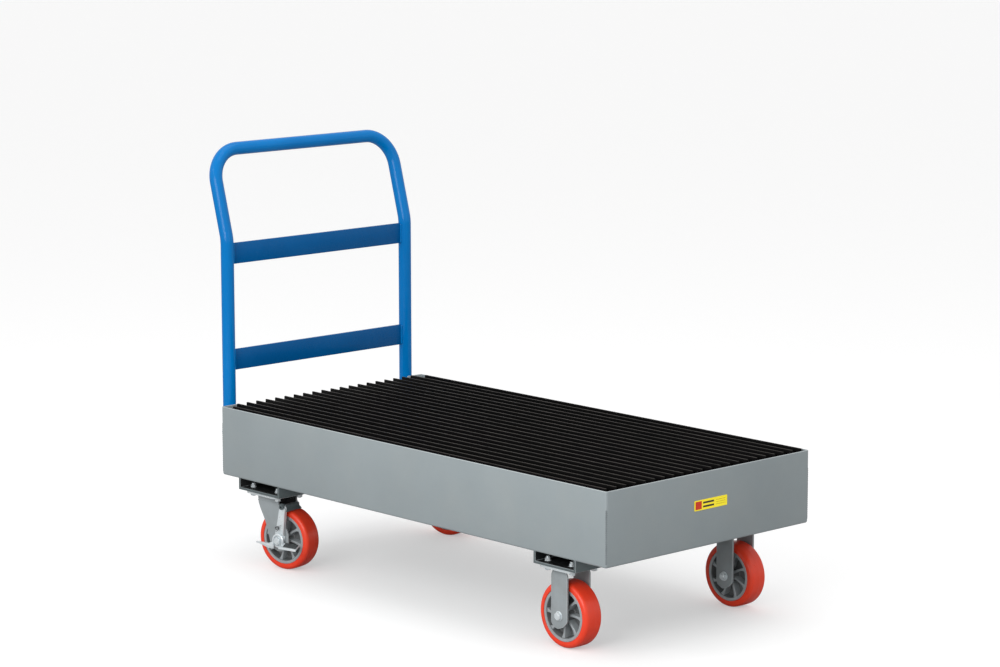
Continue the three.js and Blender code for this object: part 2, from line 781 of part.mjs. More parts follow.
// ---------------------------------------------------------------- assembly
add('sump_tray', sumpTray(), MATERIAL.greyPaint);
add('front_wall', frontWall(), MATERIAL.greyPaint);
add('handle_end_wall', handleEndWall(), MATERIAL.greyPaint);
deckSupports();
add('deck_grating', deckGrating(), MATERIAL.deckPaint);
add('handle_tube', handleTube(), MATERIAL.bluePaint);
add('lower_crossbar', crossbar(CROSSBAR.lower), MATERIAL.bluePaint);
add('upper_crossbar', crossbar(CROSSBAR.upper), MATERIAL.bluePaint);
add('handle_bolt_right', handleBolt(-1), MATERIAL.zinc);
add('handle_bolt_left', handleBolt(1), MATERIAL.zinc);
add('rigid_channel', casterChannel(RIGID), MATERIAL.greyPaint);
add('swivel_channel', casterChannel(SWIVEL), MATERIAL.greyPaint);
add('name_label', nameLabel(), MATERIAL.label);
for (const [hand, side] of [['right', -1], ['left', 1]]) {
  addRigidCaster(`rigid_${hand}`, side);
  addSwivelCaster(`swivel_${hand}`, side);
}

export default truck;
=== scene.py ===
import json
import math

import bpy
from mathutils import Matrix, Vector


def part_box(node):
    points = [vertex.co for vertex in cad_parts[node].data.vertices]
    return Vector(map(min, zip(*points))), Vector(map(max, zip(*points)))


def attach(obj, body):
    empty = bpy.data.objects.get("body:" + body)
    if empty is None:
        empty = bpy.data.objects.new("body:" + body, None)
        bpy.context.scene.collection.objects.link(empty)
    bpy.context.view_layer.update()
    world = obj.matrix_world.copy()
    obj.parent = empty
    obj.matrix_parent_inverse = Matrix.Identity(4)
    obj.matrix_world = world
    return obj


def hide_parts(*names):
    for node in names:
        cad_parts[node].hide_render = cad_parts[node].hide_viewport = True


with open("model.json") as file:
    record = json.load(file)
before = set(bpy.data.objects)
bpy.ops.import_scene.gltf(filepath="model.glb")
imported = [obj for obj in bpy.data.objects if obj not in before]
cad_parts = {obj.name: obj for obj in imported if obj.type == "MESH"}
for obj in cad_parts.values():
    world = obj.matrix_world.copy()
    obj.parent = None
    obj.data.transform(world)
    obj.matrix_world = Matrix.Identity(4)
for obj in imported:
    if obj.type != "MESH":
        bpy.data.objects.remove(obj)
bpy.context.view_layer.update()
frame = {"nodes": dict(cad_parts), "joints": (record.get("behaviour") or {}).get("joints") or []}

MM = 0.001

# ---------------------------------------------------------------- camera, floor and light, metres
CAMERA = {
    "azimuth": 47.06, "elevation": 9.55, "roll": -0.06, "lens": 113.7, "sensor": 36,
    "place": (5.3423, -4.9450, 1.8233),
}
FLOOR = {"size": 60, "height": -0.0002, "base": (0.42, 0.66), "glow": (0.0, 0.4)}
SKY = (0.8, 1.0)
LIGHTS = (
    ("key", (1.3, -3.6, 1.7), (0.5, 0, 0.3), (2.2, 1.8), 62),
    ("sparkle_left", (-1.25, -2.9, 2.7), (-0.65, 0, 0.9), (0.14, 0.9), 7),
    ("sparkle_right", (-0.45, -3.1, 2.7), (-0.65, 0, 0.9), (0.14, 0.9), 7),
    ("front_fill", (4.5, 0.6, 1.8), (0, 0, 0.3), (2.0, 1.6), 6),
    ("overhead", (0.2, 0.2, 4.2), (0, 0, 0.3), (3.0, 3.0), 30),
)

# ---------------------------------------------------------------- sizes in millimetres
SHEET = 3.0
TRAY = {"corner": 5.5, "fold": 5.0, "ear": 46.7, "drop": 12.0}
CORNER_WELD = {"above_floor": 8.0, "below_rim": 40.0, "radius": 3.0}
STITCH_WELD = {"places": (-270, -90, 90, 270), "half": 25, "radius": 2.6}
CROSSBAR_WELD = {"proud": 0.6, "margin": 1.0, "radius": 3.4}
LEG_WELD = {"proud": 0.6, "below": 0.8, "radius": 2.8}
BEAD = {"step": 0.8, "start": 0.6, "wide": 1.25, "narrow": 0.8, "first": 1.6, "last": 0.6}
LABEL = {
    "corner": 1.5, "block": ((-49, -29), (-9, 9)),
    "bars": (-25, 10), "bar_z": (-6.4, 2.2), "bar_thick": 4.2,
    "rules": (16, 46), "rule_z": (-5, 0, 5), "rule_thick": 0.6,
}
BAR = {"count": 22, "thick": 4.8, "depth": 25.4, "round": 0.9, "outer_short": 22}
ROD = {
    "count": 13, "size": 6.0, "waist": 0.8, "below": 8.0, "inset": 1.0, "end": 50,
    "step": 5.0, "twist": 36,
}
TUBE = {"radius": 15.875, "wall": 2.4, "sides": 40}
HANDLE = {"knee": 570, "knee_radius": 100, "top_radius": 78, "lean": math.radians(15.5)}
WHEEL = {"radius": 75.0, "half": 25.0, "shoulder": 9.3, "core": 60.0}
HUB = {"radius": 17.0, "half": 30.5, "bore": 10.3, "web": 4.5, "rim": 52.6}
RIBS = {"count": 8, "swirl": math.radians(7), "top": 21.5}
FITTING = {"y": -15, "turn": math.radians(-58), "sunk": 0.5}
LEG = {"inner": 31.3, "outer": 36.3}
RIGID_LEG = {"half": 25.0, "chamfer": 7.0, "foot": 57.0}
PLATE = {"thick": 6.2, "half_y": 51.0, "corner": 12.0, "hole": 4.9}
RIGID_PLATE = {"half_x": 51.0, "bolt_x": 37.5}
SWIVEL_PLATE = {"half_x": 57.0, "bolt_x": 46.0, "race_drop": 4.5}
BOLT = {"y": 33.3, "shank": 4.6, "turn": 17}
CROWN = {"bottom": 165.0, "top": 170.0, "radius": 35.5, "bore": 9.4}
SWIVEL = {"trail": 39.0, "shoulder": 28.0, "leg_clear": 1.4, "front": 34.0}
# A sheet across the swivel fork's front opening, painted as deep shade.
SHADE_SHEET = {"back": 31.0, "low": 157.0, "clear": 1.6}
AXLE = {"radius": 6.35, "head": 9.5, "thick": 6.0, "washer": (11, 1), "pitch": 1.5}
BRAKE = {"face": 36.6, "plate": 3.0, "pedal_face": 39.9, "pedal_plate": 4.0, "eye": (11.5, 84)}
SPRING = {"wire": 0.8, "radius": 4.4, "pitch": 1.5, "steps": 10, "turns": 2.5, "centre": (-4, 30)}
RIDGE = {"count": 8, "first": 21, "pitch": 5.0, "wide": 2.6, "high": 0.7}
WHEEL_TURN = {"rigid_right": -5, "rigid_left": 30, "swivel_right": -40, "swivel_left": -40}

# ---------------------------------------------------------------- places from the frame
joint_at = {j["name"]: Vector(j.get("pos_m", (0, 0, 0))) for j in frame["joints"]}
joint_axis = {j["name"]: Vector(j["axis"]) for j in frame["joints"]}
tray_low, tray_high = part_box("sump_tray")
deck_low, deck_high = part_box("deck_grating")
tube_low, tube_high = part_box("handle_tube")
post_x = sum(corner.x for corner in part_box("lower_crossbar")) / 2
post_y = sum(corner.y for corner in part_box("handle_bolt_left")) / 2
channel_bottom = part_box("rigid_channel")[0].z / MM
plate_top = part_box("rigid_right_frame")[1].z / MM
plate_bottom = plate_top - PLATE["thick"]


def mm(x, y, z):
    """A point or step given in millimetres, in metres."""
    return Vector((x, y, z)) * MM


# ---------------------------------------------------------------- camera, floor and light
def make_camera():
    azimuth, elevation, roll = (math.radians(CAMERA[k]) for k in ("azimuth", "elevation", "roll"))
    back = Vector((
        math.sin(azimuth) * math.cos(elevation),
        -math.cos(azimuth) * math.cos(elevation),
        math.sin(elevation),
    ))
    level = Vector((math.cos(azimuth), math.sin(azimuth), 0))
    up = back.cross(level)
    right = level * math.cos(roll) + up * math.sin(roll)
    up = back.cross(right)
    data = bpy.data.cameras.new("camera")
    data.lens = CAMERA["lens"]
    data.sensor_width = CAMERA["sensor"]
    camera = bpy.data.objects.new("camera", data)
    bpy.context.scene.collection.objects.link(camera)
    turn = Matrix((right, up, back)).transposed().to_4x4()
    camera.matrix_world = Matrix.Translation(CAMERA["place"]) @ turn
    bpy.context.scene.camera = camera


def by_ray(tree, socket, values):
    """Gives a socket one value for light that bounces and another for what the camera sees."""
    seen = tree.nodes.new("ShaderNodeLightPath").outputs["Is Camera Ray"]
    blend = tree.nodes.new("ShaderNodeMapRange")
    blend.inputs["To Min"].default_value, blend.inputs["To Max"].default_value = values
    tree.links.new(seen, blend.inputs["Value"])
    tree.links.new(blend.outputs["Result"], socket)


def make_floor():
    bpy.ops.object.select_all(action="DESELECT")
    bpy.ops.mesh.primitive_plane_add(size=FLOOR["size"], location=(0, 0, FLOOR["height"]))
    floor = bpy.context.object
    floor.name = "floor"
    material = bpy.data.materials.new("pale_floor")
    material.use_nodes = True
    shader = material.node_tree.nodes["Principled BSDF"]
    shader.inputs["Roughness"].default_value = 0.8
    shader.inputs["Specular IOR Level"].default_value = 0.1
    shader.inputs["Emission Color"].default_value = (1, 1, 1, 1)
    by_ray(material.node_tree, shader.inputs["Base Color"], FLOOR["base"])
    by_ray(material.node_tree, shader.inputs["Emission Strength"], FLOOR["glow"])
    floor.data.materials.append(material)


def area_light(name, place, aim, size, power):
    data = bpy.data.lights.new(name, "AREA")
    data.shape = "RECTANGLE"
    data.size, data.size_y = size
    data.energy = power
    light = bpy.data.objects.new(name, data)
    bpy.context.scene.collection.objects.link(light)
    light.location = place
    light.rotation_euler = (Vector(aim) - Vector(place)).to_track_quat("-Z", "Y").to_euler()


def make_light():
    scene = bpy.context.scene
    scene.view_settings.view_transform = "Standard"
    scene.world = bpy.data.worlds.new("studio")
    scene.world.use_nodes = True
    tree = scene.world.node_tree
    backdrop = tree.nodes["Background"]
    backdrop.inputs["Color"].default_value = (1, 1, 1, 1)
    by_ray(tree, backdrop.inputs["Strength"], SKY)
    for light in LIGHTS:
        area_light(*light)


make_camera()
make_floor()
make_light()


# ---------------------------------------------------------------- shader node groups
def new_group(name, inputs, outputs):
    """An empty node group with named sockets, and its inner input and output nodes."""
    group = bpy.data.node_groups.new(name, "ShaderNodeTree")
    for socket, kind, value in inputs:
        made = group.interface.new_socket(name=socket, in_out="INPUT", socket_type=kind)
        made.default_value = value
    for socket, kind in outputs:
        group.interface.new_socket(name=socket, in_out="OUTPUT", socket_type=kind)
    inside = group.nodes.new("NodeGroupInput")
    outside = group.nodes.new("NodeGroupOutput")
    return group, inside, outside


def noise(tree, vector, detail, rough, scale=None):
    node = tree.nodes.new("ShaderNodeTexNoise")
    node.inputs["Detail"].default_value = detail
    node.inputs["Roughness"].default_value = rough
    tree.links.new(vector, node.inputs["Vector"])
    if scale is not None:
        tree.links.new(scale, node.inputs["Scale"])
    return node


def remap(tree, value, low, high, to_low=0.0, to_high=1.0):
    """A clamped map of a value from one range to another; ends may be numbers or sockets."""
    node = tree.nodes.new("ShaderNodeMapRange")
    tree.links.new(value, node.inputs["Value"])
    ends = (("From Min", low), ("From Max", high), ("To Min", to_low), ("To Max", to_high))
    for socket, end in ends:
        if isinstance(end, bpy.types.NodeSocket):
            tree.links.new(end, node.inputs[socket])
        else:
            node.inputs[socket].default_value = end
    return node.outputs["Result"]


def mixed(tree, factor, first, second):
    """A colour mix; each colour may be a socket or four numbers."""
    node = tree.nodes.new("ShaderNodeMix")
    node.data_type = "RGBA"
    tree.links.new(factor, node.inputs[0])
    for index, colour in ((6, first), (7, second)):
        if isinstance(colour, bpy.types.NodeSocket):
            tree.links.new(colour, node.inputs[index])
        else:
            node.inputs[index].default_value = colour
    return node.outputs[2]


def math_node(tree, operation, first, second):
    node = tree.nodes.new("ShaderNodeMath")
    node.operation = operation
    for index, value in enumerate((first, second)):
        if isinstance(value, bpy.types.NodeSocket):
            tree.links.new(value, node.inputs[index])
        else:
            node.inputs[index].default_value = value
    return node.outputs[0]


def coat_group():
    """Colour that wanders in soft patches, a grain for bump, and roughness between two values."""
    colour, number = "NodeSocketColor", "NodeSocketFloat"
    group, inside, outside = new_group(
        "coat",
        [
            ("Main", colour, (0.5, 0.5, 0.5, 1)),
            ("Patch", colour, (0.4, 0.4, 0.4, 1)),
            ("Patch Scale", number, 6.0),
            ("Grain Scale", number, 400.0),
            ("Rough Low", number, 0.4),
            ("Rough High", number, 0.6),
        ],
        [("Colour", colour), ("Roughness", number), ("Height", number)],
    )
    coordinates = group.nodes.new("ShaderNodeTexCoord").outputs["Object"]
    patches = noise(group, coordinates, 5, 0.6, inside.outputs["Patch Scale"])
    grain = noise(group, coordinates, 2, 0.5, inside.outputs["Grain Scale"])
    blotch = remap(group, patches.outputs["Fac"], 0.32, 0.68)
    speck = remap(group, grain.outputs["Fac"], 0.3, 0.7)
    share = math_node(group, "MULTIPLY", speck, 0.25)
    amount = math_node(group, "ADD", math_node(group, "MULTIPLY", blotch, 0.75), share)
    wandering = mixed(group, amount, inside.outputs["Main"], inside.outputs["Patch"])
    mottle = math_node(group, "ADD", patches.outputs["Fac"], share)
    ends = inside.outputs["Rough Low"], inside.outputs["Rough High"]
    rough = remap(group, mottle, 0.3, 0.85, *ends)
    group.links.new(wandering, outside.inputs["Colour"])
    group.links.new(rough, outside.inputs["Roughness"])
    group.links.new(grain.outputs["Fac"], outside.inputs["Height"])
    return group


def scratch_group():
    """Fine rub marks that run mostly one way, broken up into patches."""
    number = "NodeSocketFloat"
    group, inside, outside = new_group(
        "scratches",
        [("Scale", number, 60.0), ("Cover", number, 0.3)],
        [("Mask", number)],
    )
    coordinates = group.nodes.new("ShaderNodeTexCoord").outputs["Object"]
    stretch = group.nodes.new("ShaderNodeMapping")
    stretch.inputs["Scale"].default_value = (1.0, 1.0, 9.0)
    stretch.inputs["Rotation"].default_value = (0.35, 0.5, 0.2)
    group.links.new(coordinates, stretch.inputs["Vector"])
    lines = noise(group, stretch.outputs["Vector"], 6, 0.75, inside.outputs["Scale"])
    areas = noise(group, coordinates, 3, 0.5)
    areas.inputs["Scale"].default_value = 9.0
    wear_and_highlight = math_node(group, "MULTIPLY", inside.outputs["Cover"], 0.4)
    start = math_node(group, "SUBTRACT", 0.82, wear_and_highlight)
    sharp = remap(group, lines.outputs["Fac"], start, math_node(group, "ADD", start, 0.08))
    where = remap(group, areas.outputs["Fac"], 0.42, 0.62)
    group.links.new(math_node(group, "MULTIPLY", sharp, where), outside.inputs["Mask"])
    return group


def dust_group():
    """Dust in faint clouds."""
    number = "NodeSocketFloat"
    group, inside, outside = new_group(
        "dust",
        [("Scale", number, 14.0), ("Cover", number, 0.2)],
        [("Mask", number)],
    )
    coordinates = group.nodes.new("ShaderNodeTexCoord").outputs["Object"]
    clouds = noise(group, coordinates, 6, 0.7, inside.outputs["Scale"])
    cloud = remap(group, clouds.outputs["Fac"], 0.45, 0.75)
    film = math_node(group, "MULTIPLY", cloud, inside.outputs["Cover"])
    group.links.new(film, outside.inputs["Mask"])
    return group


COAT = coat_group()
SCRATCHES = scratch_group()
DUST = dust_group()


# ---------------------------------------------------------------- materials
def use_group(tree, group, **values):
    node = tree.nodes.new("ShaderNodeGroup")
    node.node_tree = group
    for socket, value in values.items():
        node.inputs[socket.replace("_", " ")].default_value = value
    return node


def linear(red, green, blue):
    """A display colour from 0 to 255 as linear light."""
    def channel(value):
        share = value / 255
        return share / 12.92 if share <= 0.04045 else ((share + 0.055) / 1.055) ** 2.4
    return (channel(red), channel(green), channel(blue), 1)


def finish(name, main, patch, rough, metallic=0.0, patch_scale=6.0, grain_scale=400.0,
           bump=0.1, grain_depth=0.0002, scratch=None, dust=None, specular=0.5):
    """A material: a wandering coat, with scratches and dust over it where they are given.

    Colours are display colours from 0 to 255; rough is the span that roughness wanders in.
    """
    material = bpy.data.materials.new(name)
    material.use_nodes = True
    tree = material.node_tree
    shader = tree.nodes["Principled BSDF"]
    shader.inputs["Metallic"].default_value = metallic
    shader.inputs["Specular IOR Level"].default_value = specular
    coat = use_group(
        tree, COAT, Main=linear(*main), Patch=linear(*patch), Patch_Scale=patch_scale,
        Grain_Scale=grain_scale, Rough_Low=rough[0], Rough_High=rough[1],
    )
    colour = coat.outputs["Colour"]
    roughness = coat.outputs["Roughness"]
    if scratch:
        marks = use_group(tree, SCRATCHES, Scale=scratch["scale"], Cover=scratch["cover"])
        colour = mixed(tree, marks.outputs["Mask"], colour, linear(*scratch["colour"]))
        change = math_node(tree, "MULTIPLY", marks.outputs["Mask"], scratch["rough"])
        roughness = math_node(tree, "ADD", roughness, change)
    if dust:
        film = use_group(tree, DUST, Scale=dust["scale"], Cover=dust["cover"])
        colour = mixed(tree, film.outputs["Mask"], colour, linear(*dust["colour"]))
        roughness = math_node(tree, "ADD", roughness, film.outputs["Mask"])
    tree.links.new(colour, shader.inputs["Base Color"])
    tree.links.new(roughness, shader.inputs["Roughness"])
    relief = tree.nodes.new("ShaderNodeBump")
    relief.inputs["Strength"].default_value = bump
    relief.inputs["Distance"].default_value = grain_depth
    tree.links.new(coat.outputs["Height"], relief.inputs["Height"])
    tree.links.new(relief.outputs["Normal"], shader.inputs["Normal"])
    return material


ENAMEL = {"grain_scale": 700.0, "bump": 0.25, "grain_depth": 0.0003}
GLOSS = {"grain_scale": 650.0, "bump": 0.12, "grain_depth": 0.0002}
FILM = {"grain_scale": 300.0, "bump": 0.05, "grain_depth": 0.0001}

GREY = finish(
    "grey_powder_coat", (150, 159, 162), (141, 150, 153), (0.42, 0.56),
    patch_scale=3.0, grain_scale=900.0, bump=0.22, grain_depth=0.0003,
    scratch={"scale": 40, "cover": 0.15, "colour": (176, 183, 185), "rough": 0.1},
    dust={"scale": 9, "cover": 0.12, "colour": (172, 170, 162)},
)
GREY_EDGE = finish(
    "grey_worn_edge", (188, 195, 197), (168, 175, 177), (0.35, 0.5),
    patch_scale=30.0, grain_scale=900.0, bump=0.2, grain_depth=0.0003,
    scratch={"scale": 120, "cover": 0.5, "colour": (196, 201, 202), "rough": -0.05},
)
FORK_GREY = finish(
    "caster_grey_enamel", (156, 163, 166), (142, 149, 152), (0.4, 0.55),
    patch_scale=18.0, **ENAMEL,
    scratch={"scale": 90, "cover": 0.25, "colour": (168, 174, 176), "rough": 0.05},
    dust={"scale": 30, "cover": 0.2, "colour": (120, 114, 104)},
)
# Grey enamel darkened as painted shade, for parts that sit in shade under the tray: channels, fork
# bridge, brake shoe, hook and eye.
GREY_PAINTED_SHADE = finish(
    "grey_enamel_painted_shade", (92, 102, 104), (78, 88, 90), (0.4, 0.55),
    patch_scale=20.0, **ENAMEL,
    scratch={"scale": 90, "cover": 0.2, "colour": (120, 130, 132), "rough": 0.05},
)
# Near-black grey as painted deep shade: channel insides, the raceways and crown, and the sheet
# across the swivel fork's front.
GREY_PAINTED_DEEP_SHADE = finish(
    "grey_enamel_painted_deep_shade", (30, 33, 34), (20, 22, 23), (0.5, 0.65),
    patch_scale=20.0, **ENAMEL,
    dust={"scale": 30, "cover": 0.15, "colour": (60, 56, 50)}, specular=0.2,
)
WELD = finish(
    "painted_weld", (132, 140, 143), (112, 119, 122), (0.5, 0.68),
    patch_scale=60.0, grain_scale=500.0, bump=0.6, grain_depth=0.0006,
)
BLUE = finish(
    "blue_powder_coat", (0, 122, 198), (0, 113, 186), (0.07, 0.13),
    patch_scale=5.0, **GLOSS,
    scratch={"scale": 60, "cover": 0.12, "colour": (30, 135, 205), "rough": 0.12},
    dust={"scale": 12, "cover": 0.03, "colour": (70, 140, 190)}, specular=0.18,
)
# The handle's blue darkened as painted shade, for the crossbars that face away from the key light.
BLUE_PAINTED_SHADE = finish(
    "blue_coat_painted_shade", (0, 92, 156), (0, 84, 144), (0.2, 0.3),
    patch_scale=7.0, **GLOSS,
    scratch={"scale": 60, "cover": 0.15, "colour": (20, 112, 176), "rough": 0.12},
    dust={"scale": 12, "cover": 0.04, "colour": (70, 120, 160)}, specular=0.15,
)
# Bright zinc for bolts, pins and brake parts; the caster plates' side faces and edges also take it
# as a painted highlight.
ZINC_AND_EDGE_HIGHLIGHT = finish(
    "bright_zinc_and_edge_highlight", (232, 238, 240), (208, 217, 222), (0.22, 0.36), metallic=0.35,
    patch_scale=45.0, grain_scale=500.0, bump=0.15, grain_depth=0.0002,
    scratch={"scale": 200, "cover": 0.45, "colour": (160, 166, 168), "rough": 0.12},
    dust={"scale": 60, "cover": 0.15, "colour": (150, 142, 122)},
)
TREAD = finish(
    "orange_polyurethane", (246, 68, 38), (236, 58, 30), (0.24, 0.38),
    patch_scale=22.0, grain_scale=600.0, bump=0.15, grain_depth=0.0002,
    scratch={"scale": 70, "cover": 0.12, "colour": (240, 96, 66), "rough": 0.15},
    dust={"scale": 24, "cover": 0.08, "colour": (214, 120, 92)}, specular=0.45,
)
CORE = finish(
    "core_grey", (176, 182, 185), (156, 162, 165), (0.35, 0.5), metallic=0.25,
    patch_scale=40.0, grain_scale=420.0, bump=0.35, grain_depth=0.0004,
    scratch={"scale": 150, "cover": 0.3, "colour": (190, 194, 196), "rough": -0.05},
)
# Darker grey for the web between hub and rim: partly a darker cast tone, partly painted shade of
# the recess.
RECESS = finish(
    "core_recess_shade", (128, 130, 131), (98, 100, 101), (0.3, 0.5), metallic=0.35,
    patch_scale=35.0, grain_scale=300.0, bump=0.6, grain_depth=0.0006,
    dust={"scale": 50, "cover": 0.25, "colour": (70, 64, 56)},
)
STEEL = finish(
    "oiled_steel", (120, 122, 124), (94, 96, 98), (0.25, 0.4), metallic=0.9,
    patch_scale=60.0, grain_scale=500.0, bump=0.15,
)
GRIP = finish(
    "dark_grip_paint", (70, 76, 78), (50, 55, 57), (0.55, 0.75),
    patch_scale=60.0, grain_scale=500.0, bump=0.7, grain_depth=0.0006,
)
YELLOW = finish(
    "yellow_film", (255, 240, 50), (255, 234, 40), (0.25, 0.36),
    patch_scale=30.0, **FILM,
    scratch={"scale": 150, "cover": 0.1, "colour": (250, 236, 130), "rough": 0.1},
)
film_glow = YELLOW.node_tree.nodes["Principled BSDF"].inputs
film_glow["Emission Color"].default_value = linear(255, 220, 30)
film_glow["Emission Strength"].default_value = 0.16
RED = finish(
    "red_film", (226, 62, 24), (214, 52, 20), (0.25, 0.36),
    patch_scale=30.0, **FILM,
)
INK = finish(
    "border_ink", (40, 38, 34), (52, 49, 42), (0.3, 0.42),
    patch_scale=60.0, **FILM,
)


def deck_finish():
    """Black dipped paint, with a painted highlight in dull brown-grey patches along the tops of the
    bars.
    """
    material = finish(
        "black_dip_paint", (5, 4, 4), (2, 2, 2), (0.45, 0.6),
        patch_scale=25.0, grain_scale=350.0, bump=0.3, grain_depth=0.0003,
        scratch={"scale": 120, "cover": 0.3, "colour": (34, 31, 29), "rough": 0.05},
        specular=0.08,
    )
    tree = material.node_tree
    shader = tree.nodes["Principled BSDF"]
    painted = shader.inputs["Base Color"].links[0].from_socket
    coordinates = tree.nodes.new("ShaderNodeTexCoord").outputs["Object"]
    split = tree.nodes.new("ShaderNodeSeparateXYZ")
    tree.links.new(coordinates, split.inputs["Vector"])
    # Painted highlight: the top half-millimetre of the bars turns brown-grey in patches, standing
    # in for light caught from above.
    top = remap(tree, split.outputs["Z"], deck_high.z - 0.5 * MM, deck_high.z - 0.1 * MM)
    patchy = noise(tree, coordinates, 5, 0.6)
    patchy.inputs["Scale"].default_value = 16.0
    wear_and_highlight = remap(tree, patchy.outputs["Fac"], 0.3, 0.62, 0.35, 1.0)
    top_highlight = math_node(tree, "MULTIPLY", top, wear_and_highlight)
    tree.links.new(mixed(tree, top_highlight, painted, linear(62, 58, 55)), shader.inputs["Base Color"])
    return material


DECK = deck_finish()


# ---------------------------------------------------------------- working by hand
def clear_selection():
    bpy.ops.object.select_all(action="DESELECT")


def alone(piece):
    clear_selection()
    piece.select_set(True)
    bpy.context.view_layer.objects.active = piece


def named(name):
    piece = bpy.context.object
    piece.name = name
    piece.data.name = name
    return piece


def settle():
    """Puts the active piece's place into its mesh."""
    bpy.ops.object.transform_apply(location=True, rotation=True, scale=True)


def block(name, low, high):
    """A block from its lowest to its highest corner, in metres."""
    clear_selection()
    bpy.ops.mesh.primitive_cube_add(size=1, location=(low + high) / 2, scale=high - low)
    piece = named(name)
    settle()
    return piece


def pick(piece, kind, test):
    """Goes into edit mode with the faces (centre, normal) or edges (end, end) that pass."""
    mesh = piece.data
    alone(piece)
    bpy.context.tool_settings.mesh_select_mode = (False, kind == "EDGE", kind == "FACE")
    for parts in (mesh.vertices, mesh.edges, mesh.polygons):
        parts.foreach_set("select", [False] * len(parts))
    if kind == "FACE":
        for face in mesh.polygons:
            face.select = test(face.center, face.normal)
    else:
        for edge in mesh.edges:
            edge.select = test(*(mesh.vertices[i].co for i in edge.vertices))
    bpy.ops.object.mode_set(mode="EDIT")


def leave():
    bpy.ops.object.mode_set(mode="OBJECT")


def push(step):
    bpy.ops.mesh.extrude_region_move(TRANSFORM_OT_translate={"value": step})


def tidy_surface():
    """Merges doubles and points every face outwards, then leaves edit mode."""
    bpy.ops.mesh.select_all(action="SELECT")
    bpy.ops.mesh.remove_doubles(threshold=1e-6)
    bpy.ops.mesh.normals_make_consistent(inside=False)
    leave()


def modify(piece, kind, **settings):
    modifier = piece.modifiers.new(kind.lower(), kind)
    for key, value in settings.items():
        setattr(modifier, key, value)
    alone(piece)
    bpy.ops.object.modifier_apply(modifier=modifier.name)


def cut(piece, tool, operation="DIFFERENCE"):
    modify(piece, "BOOLEAN", object=tool, operation=operation, solver="EXACT")
    bpy.data.objects.remove(tool)


def soften(piece, width, segments=2, edge_slot=-1):
    """Rounds every sharp edge, and shades the rest smooth where it is round."""
    modify(piece, "BEVEL", width=width * MM, segments=segments, limit_method="ANGLE",
           angle_limit=math.radians(35), material=edge_slot)
    smooth(piece)


def smooth(piece, degrees=35):
    alone(piece)
    bpy.ops.object.shade_smooth_by_angle(angle=math.radians(degrees))


def wear(piece, *materials):
    piece.data.materials.clear()
    for material in materials:
        piece.data.materials.append(material)


def join(name, *pieces):
    clear_selection()
    for piece in pieces:
        piece.select_set(True)
    bpy.context.view_layer.objects.active = pieces[0]
    bpy.ops.object.join()
    return named(name)


def copy_of(piece, name, place=None):
    """A copy with its own mesh, set down at a place."""
    twin = piece.copy()
    twin.data = piece.data.copy()
    bpy.context.scene.collection.objects.link(twin)
    twin.name = name
    twin.data.name = name
    if place is not None:
        twin.matrix_world = place
        alone(twin)
        settle()
    return twin


def arc(centre, radius, start, end, steps):
    """Points on an arc, its angles in degrees."""
    points = []
    for i in range(steps + 1):
        angle = math.radians(start + (end - start) * i / steps)
        points.append((centre[0] + radius * math.cos(angle), centre[1] + radius * math.sin(angle)))
    return points


def line(name, points):
    """A new piece in edit mode: a chain of points drawn by extruding one point."""
    clear_selection()
    bpy.context.tool_settings.mesh_select_mode = (True, False, False)
    bpy.ops.mesh.primitive_plane_add(size=MM, location=(0, 0, 0))
    piece = named(name)
    bpy.ops.object.mode_set(mode="EDIT")
    bpy.ops.mesh.select_all(action="SELECT")
    bpy.ops.mesh.merge(type="CENTER")
    bpy.ops.transform.translate(value=points[0])
    for before, after in zip(points, points[1:]):
        push(after - before)
    return piece


def turned(name, profile, steps=48, axis="Y"):
    """Spins a chain of (radius, place) points, in millimetres, about an axis through the origin."""
    if axis == "Y":
        points = [mm(0, place, radius) for radius, place in profile]
    else:
        points = [mm(radius, 0, place) for radius, place in profile]
    piece = line(name, points)
    direction = (0, 1, 0) if axis == "Y" else (0, 0, 1)
    bpy.ops.mesh.select_all(action="SELECT")
    bpy.ops.mesh.spin(steps=steps, angle=2 * math.pi, center=(0, 0, 0), axis=direction)
    tidy_surface()
    smooth(piece)
    return piece


def ring(name, profile, steps=48, axis="Y"):
    """A turned piece whose profile closes on itself."""
    return turned(name, [*profile, profile[0]], steps, axis)


def flat_piece(name, outline, start, end, along):
    """A flat piece cut to an outline, its two faces at two places along an axis."""
    laid = {
        "X": lambda a, b: mm(start, a, b),
        "Y": lambda a, b: mm(a, start, b),
        "Z": lambda a, b: mm(a, b, start),
    }[along]
    step = {"X": mm(end - start, 0, 0), "Y": mm(0, end - start, 0), "Z": mm(0, 0, end - start)}
    piece = line(name, [laid(a, b) for a, b in outline])
    bpy.ops.mesh.select_all(action="SELECT")
    bpy.ops.mesh.edge_face_add()
    bpy.ops.mesh.select_all(action="SELECT")
    push(step[along])
    tidy_surface()
    return piece


def rounded_rectangle(half_x, half_y, radius, steps=5):
    points = []
    for i, j, start in ((1, 1, 0), (-1, 1, 90), (-1, -1, 180), (1, -1, 270)):
        centre = (i * (half_x - radius), j * (half_y - radius))
        points += arc(centre, radius, start, start + 90, steps)
    return points


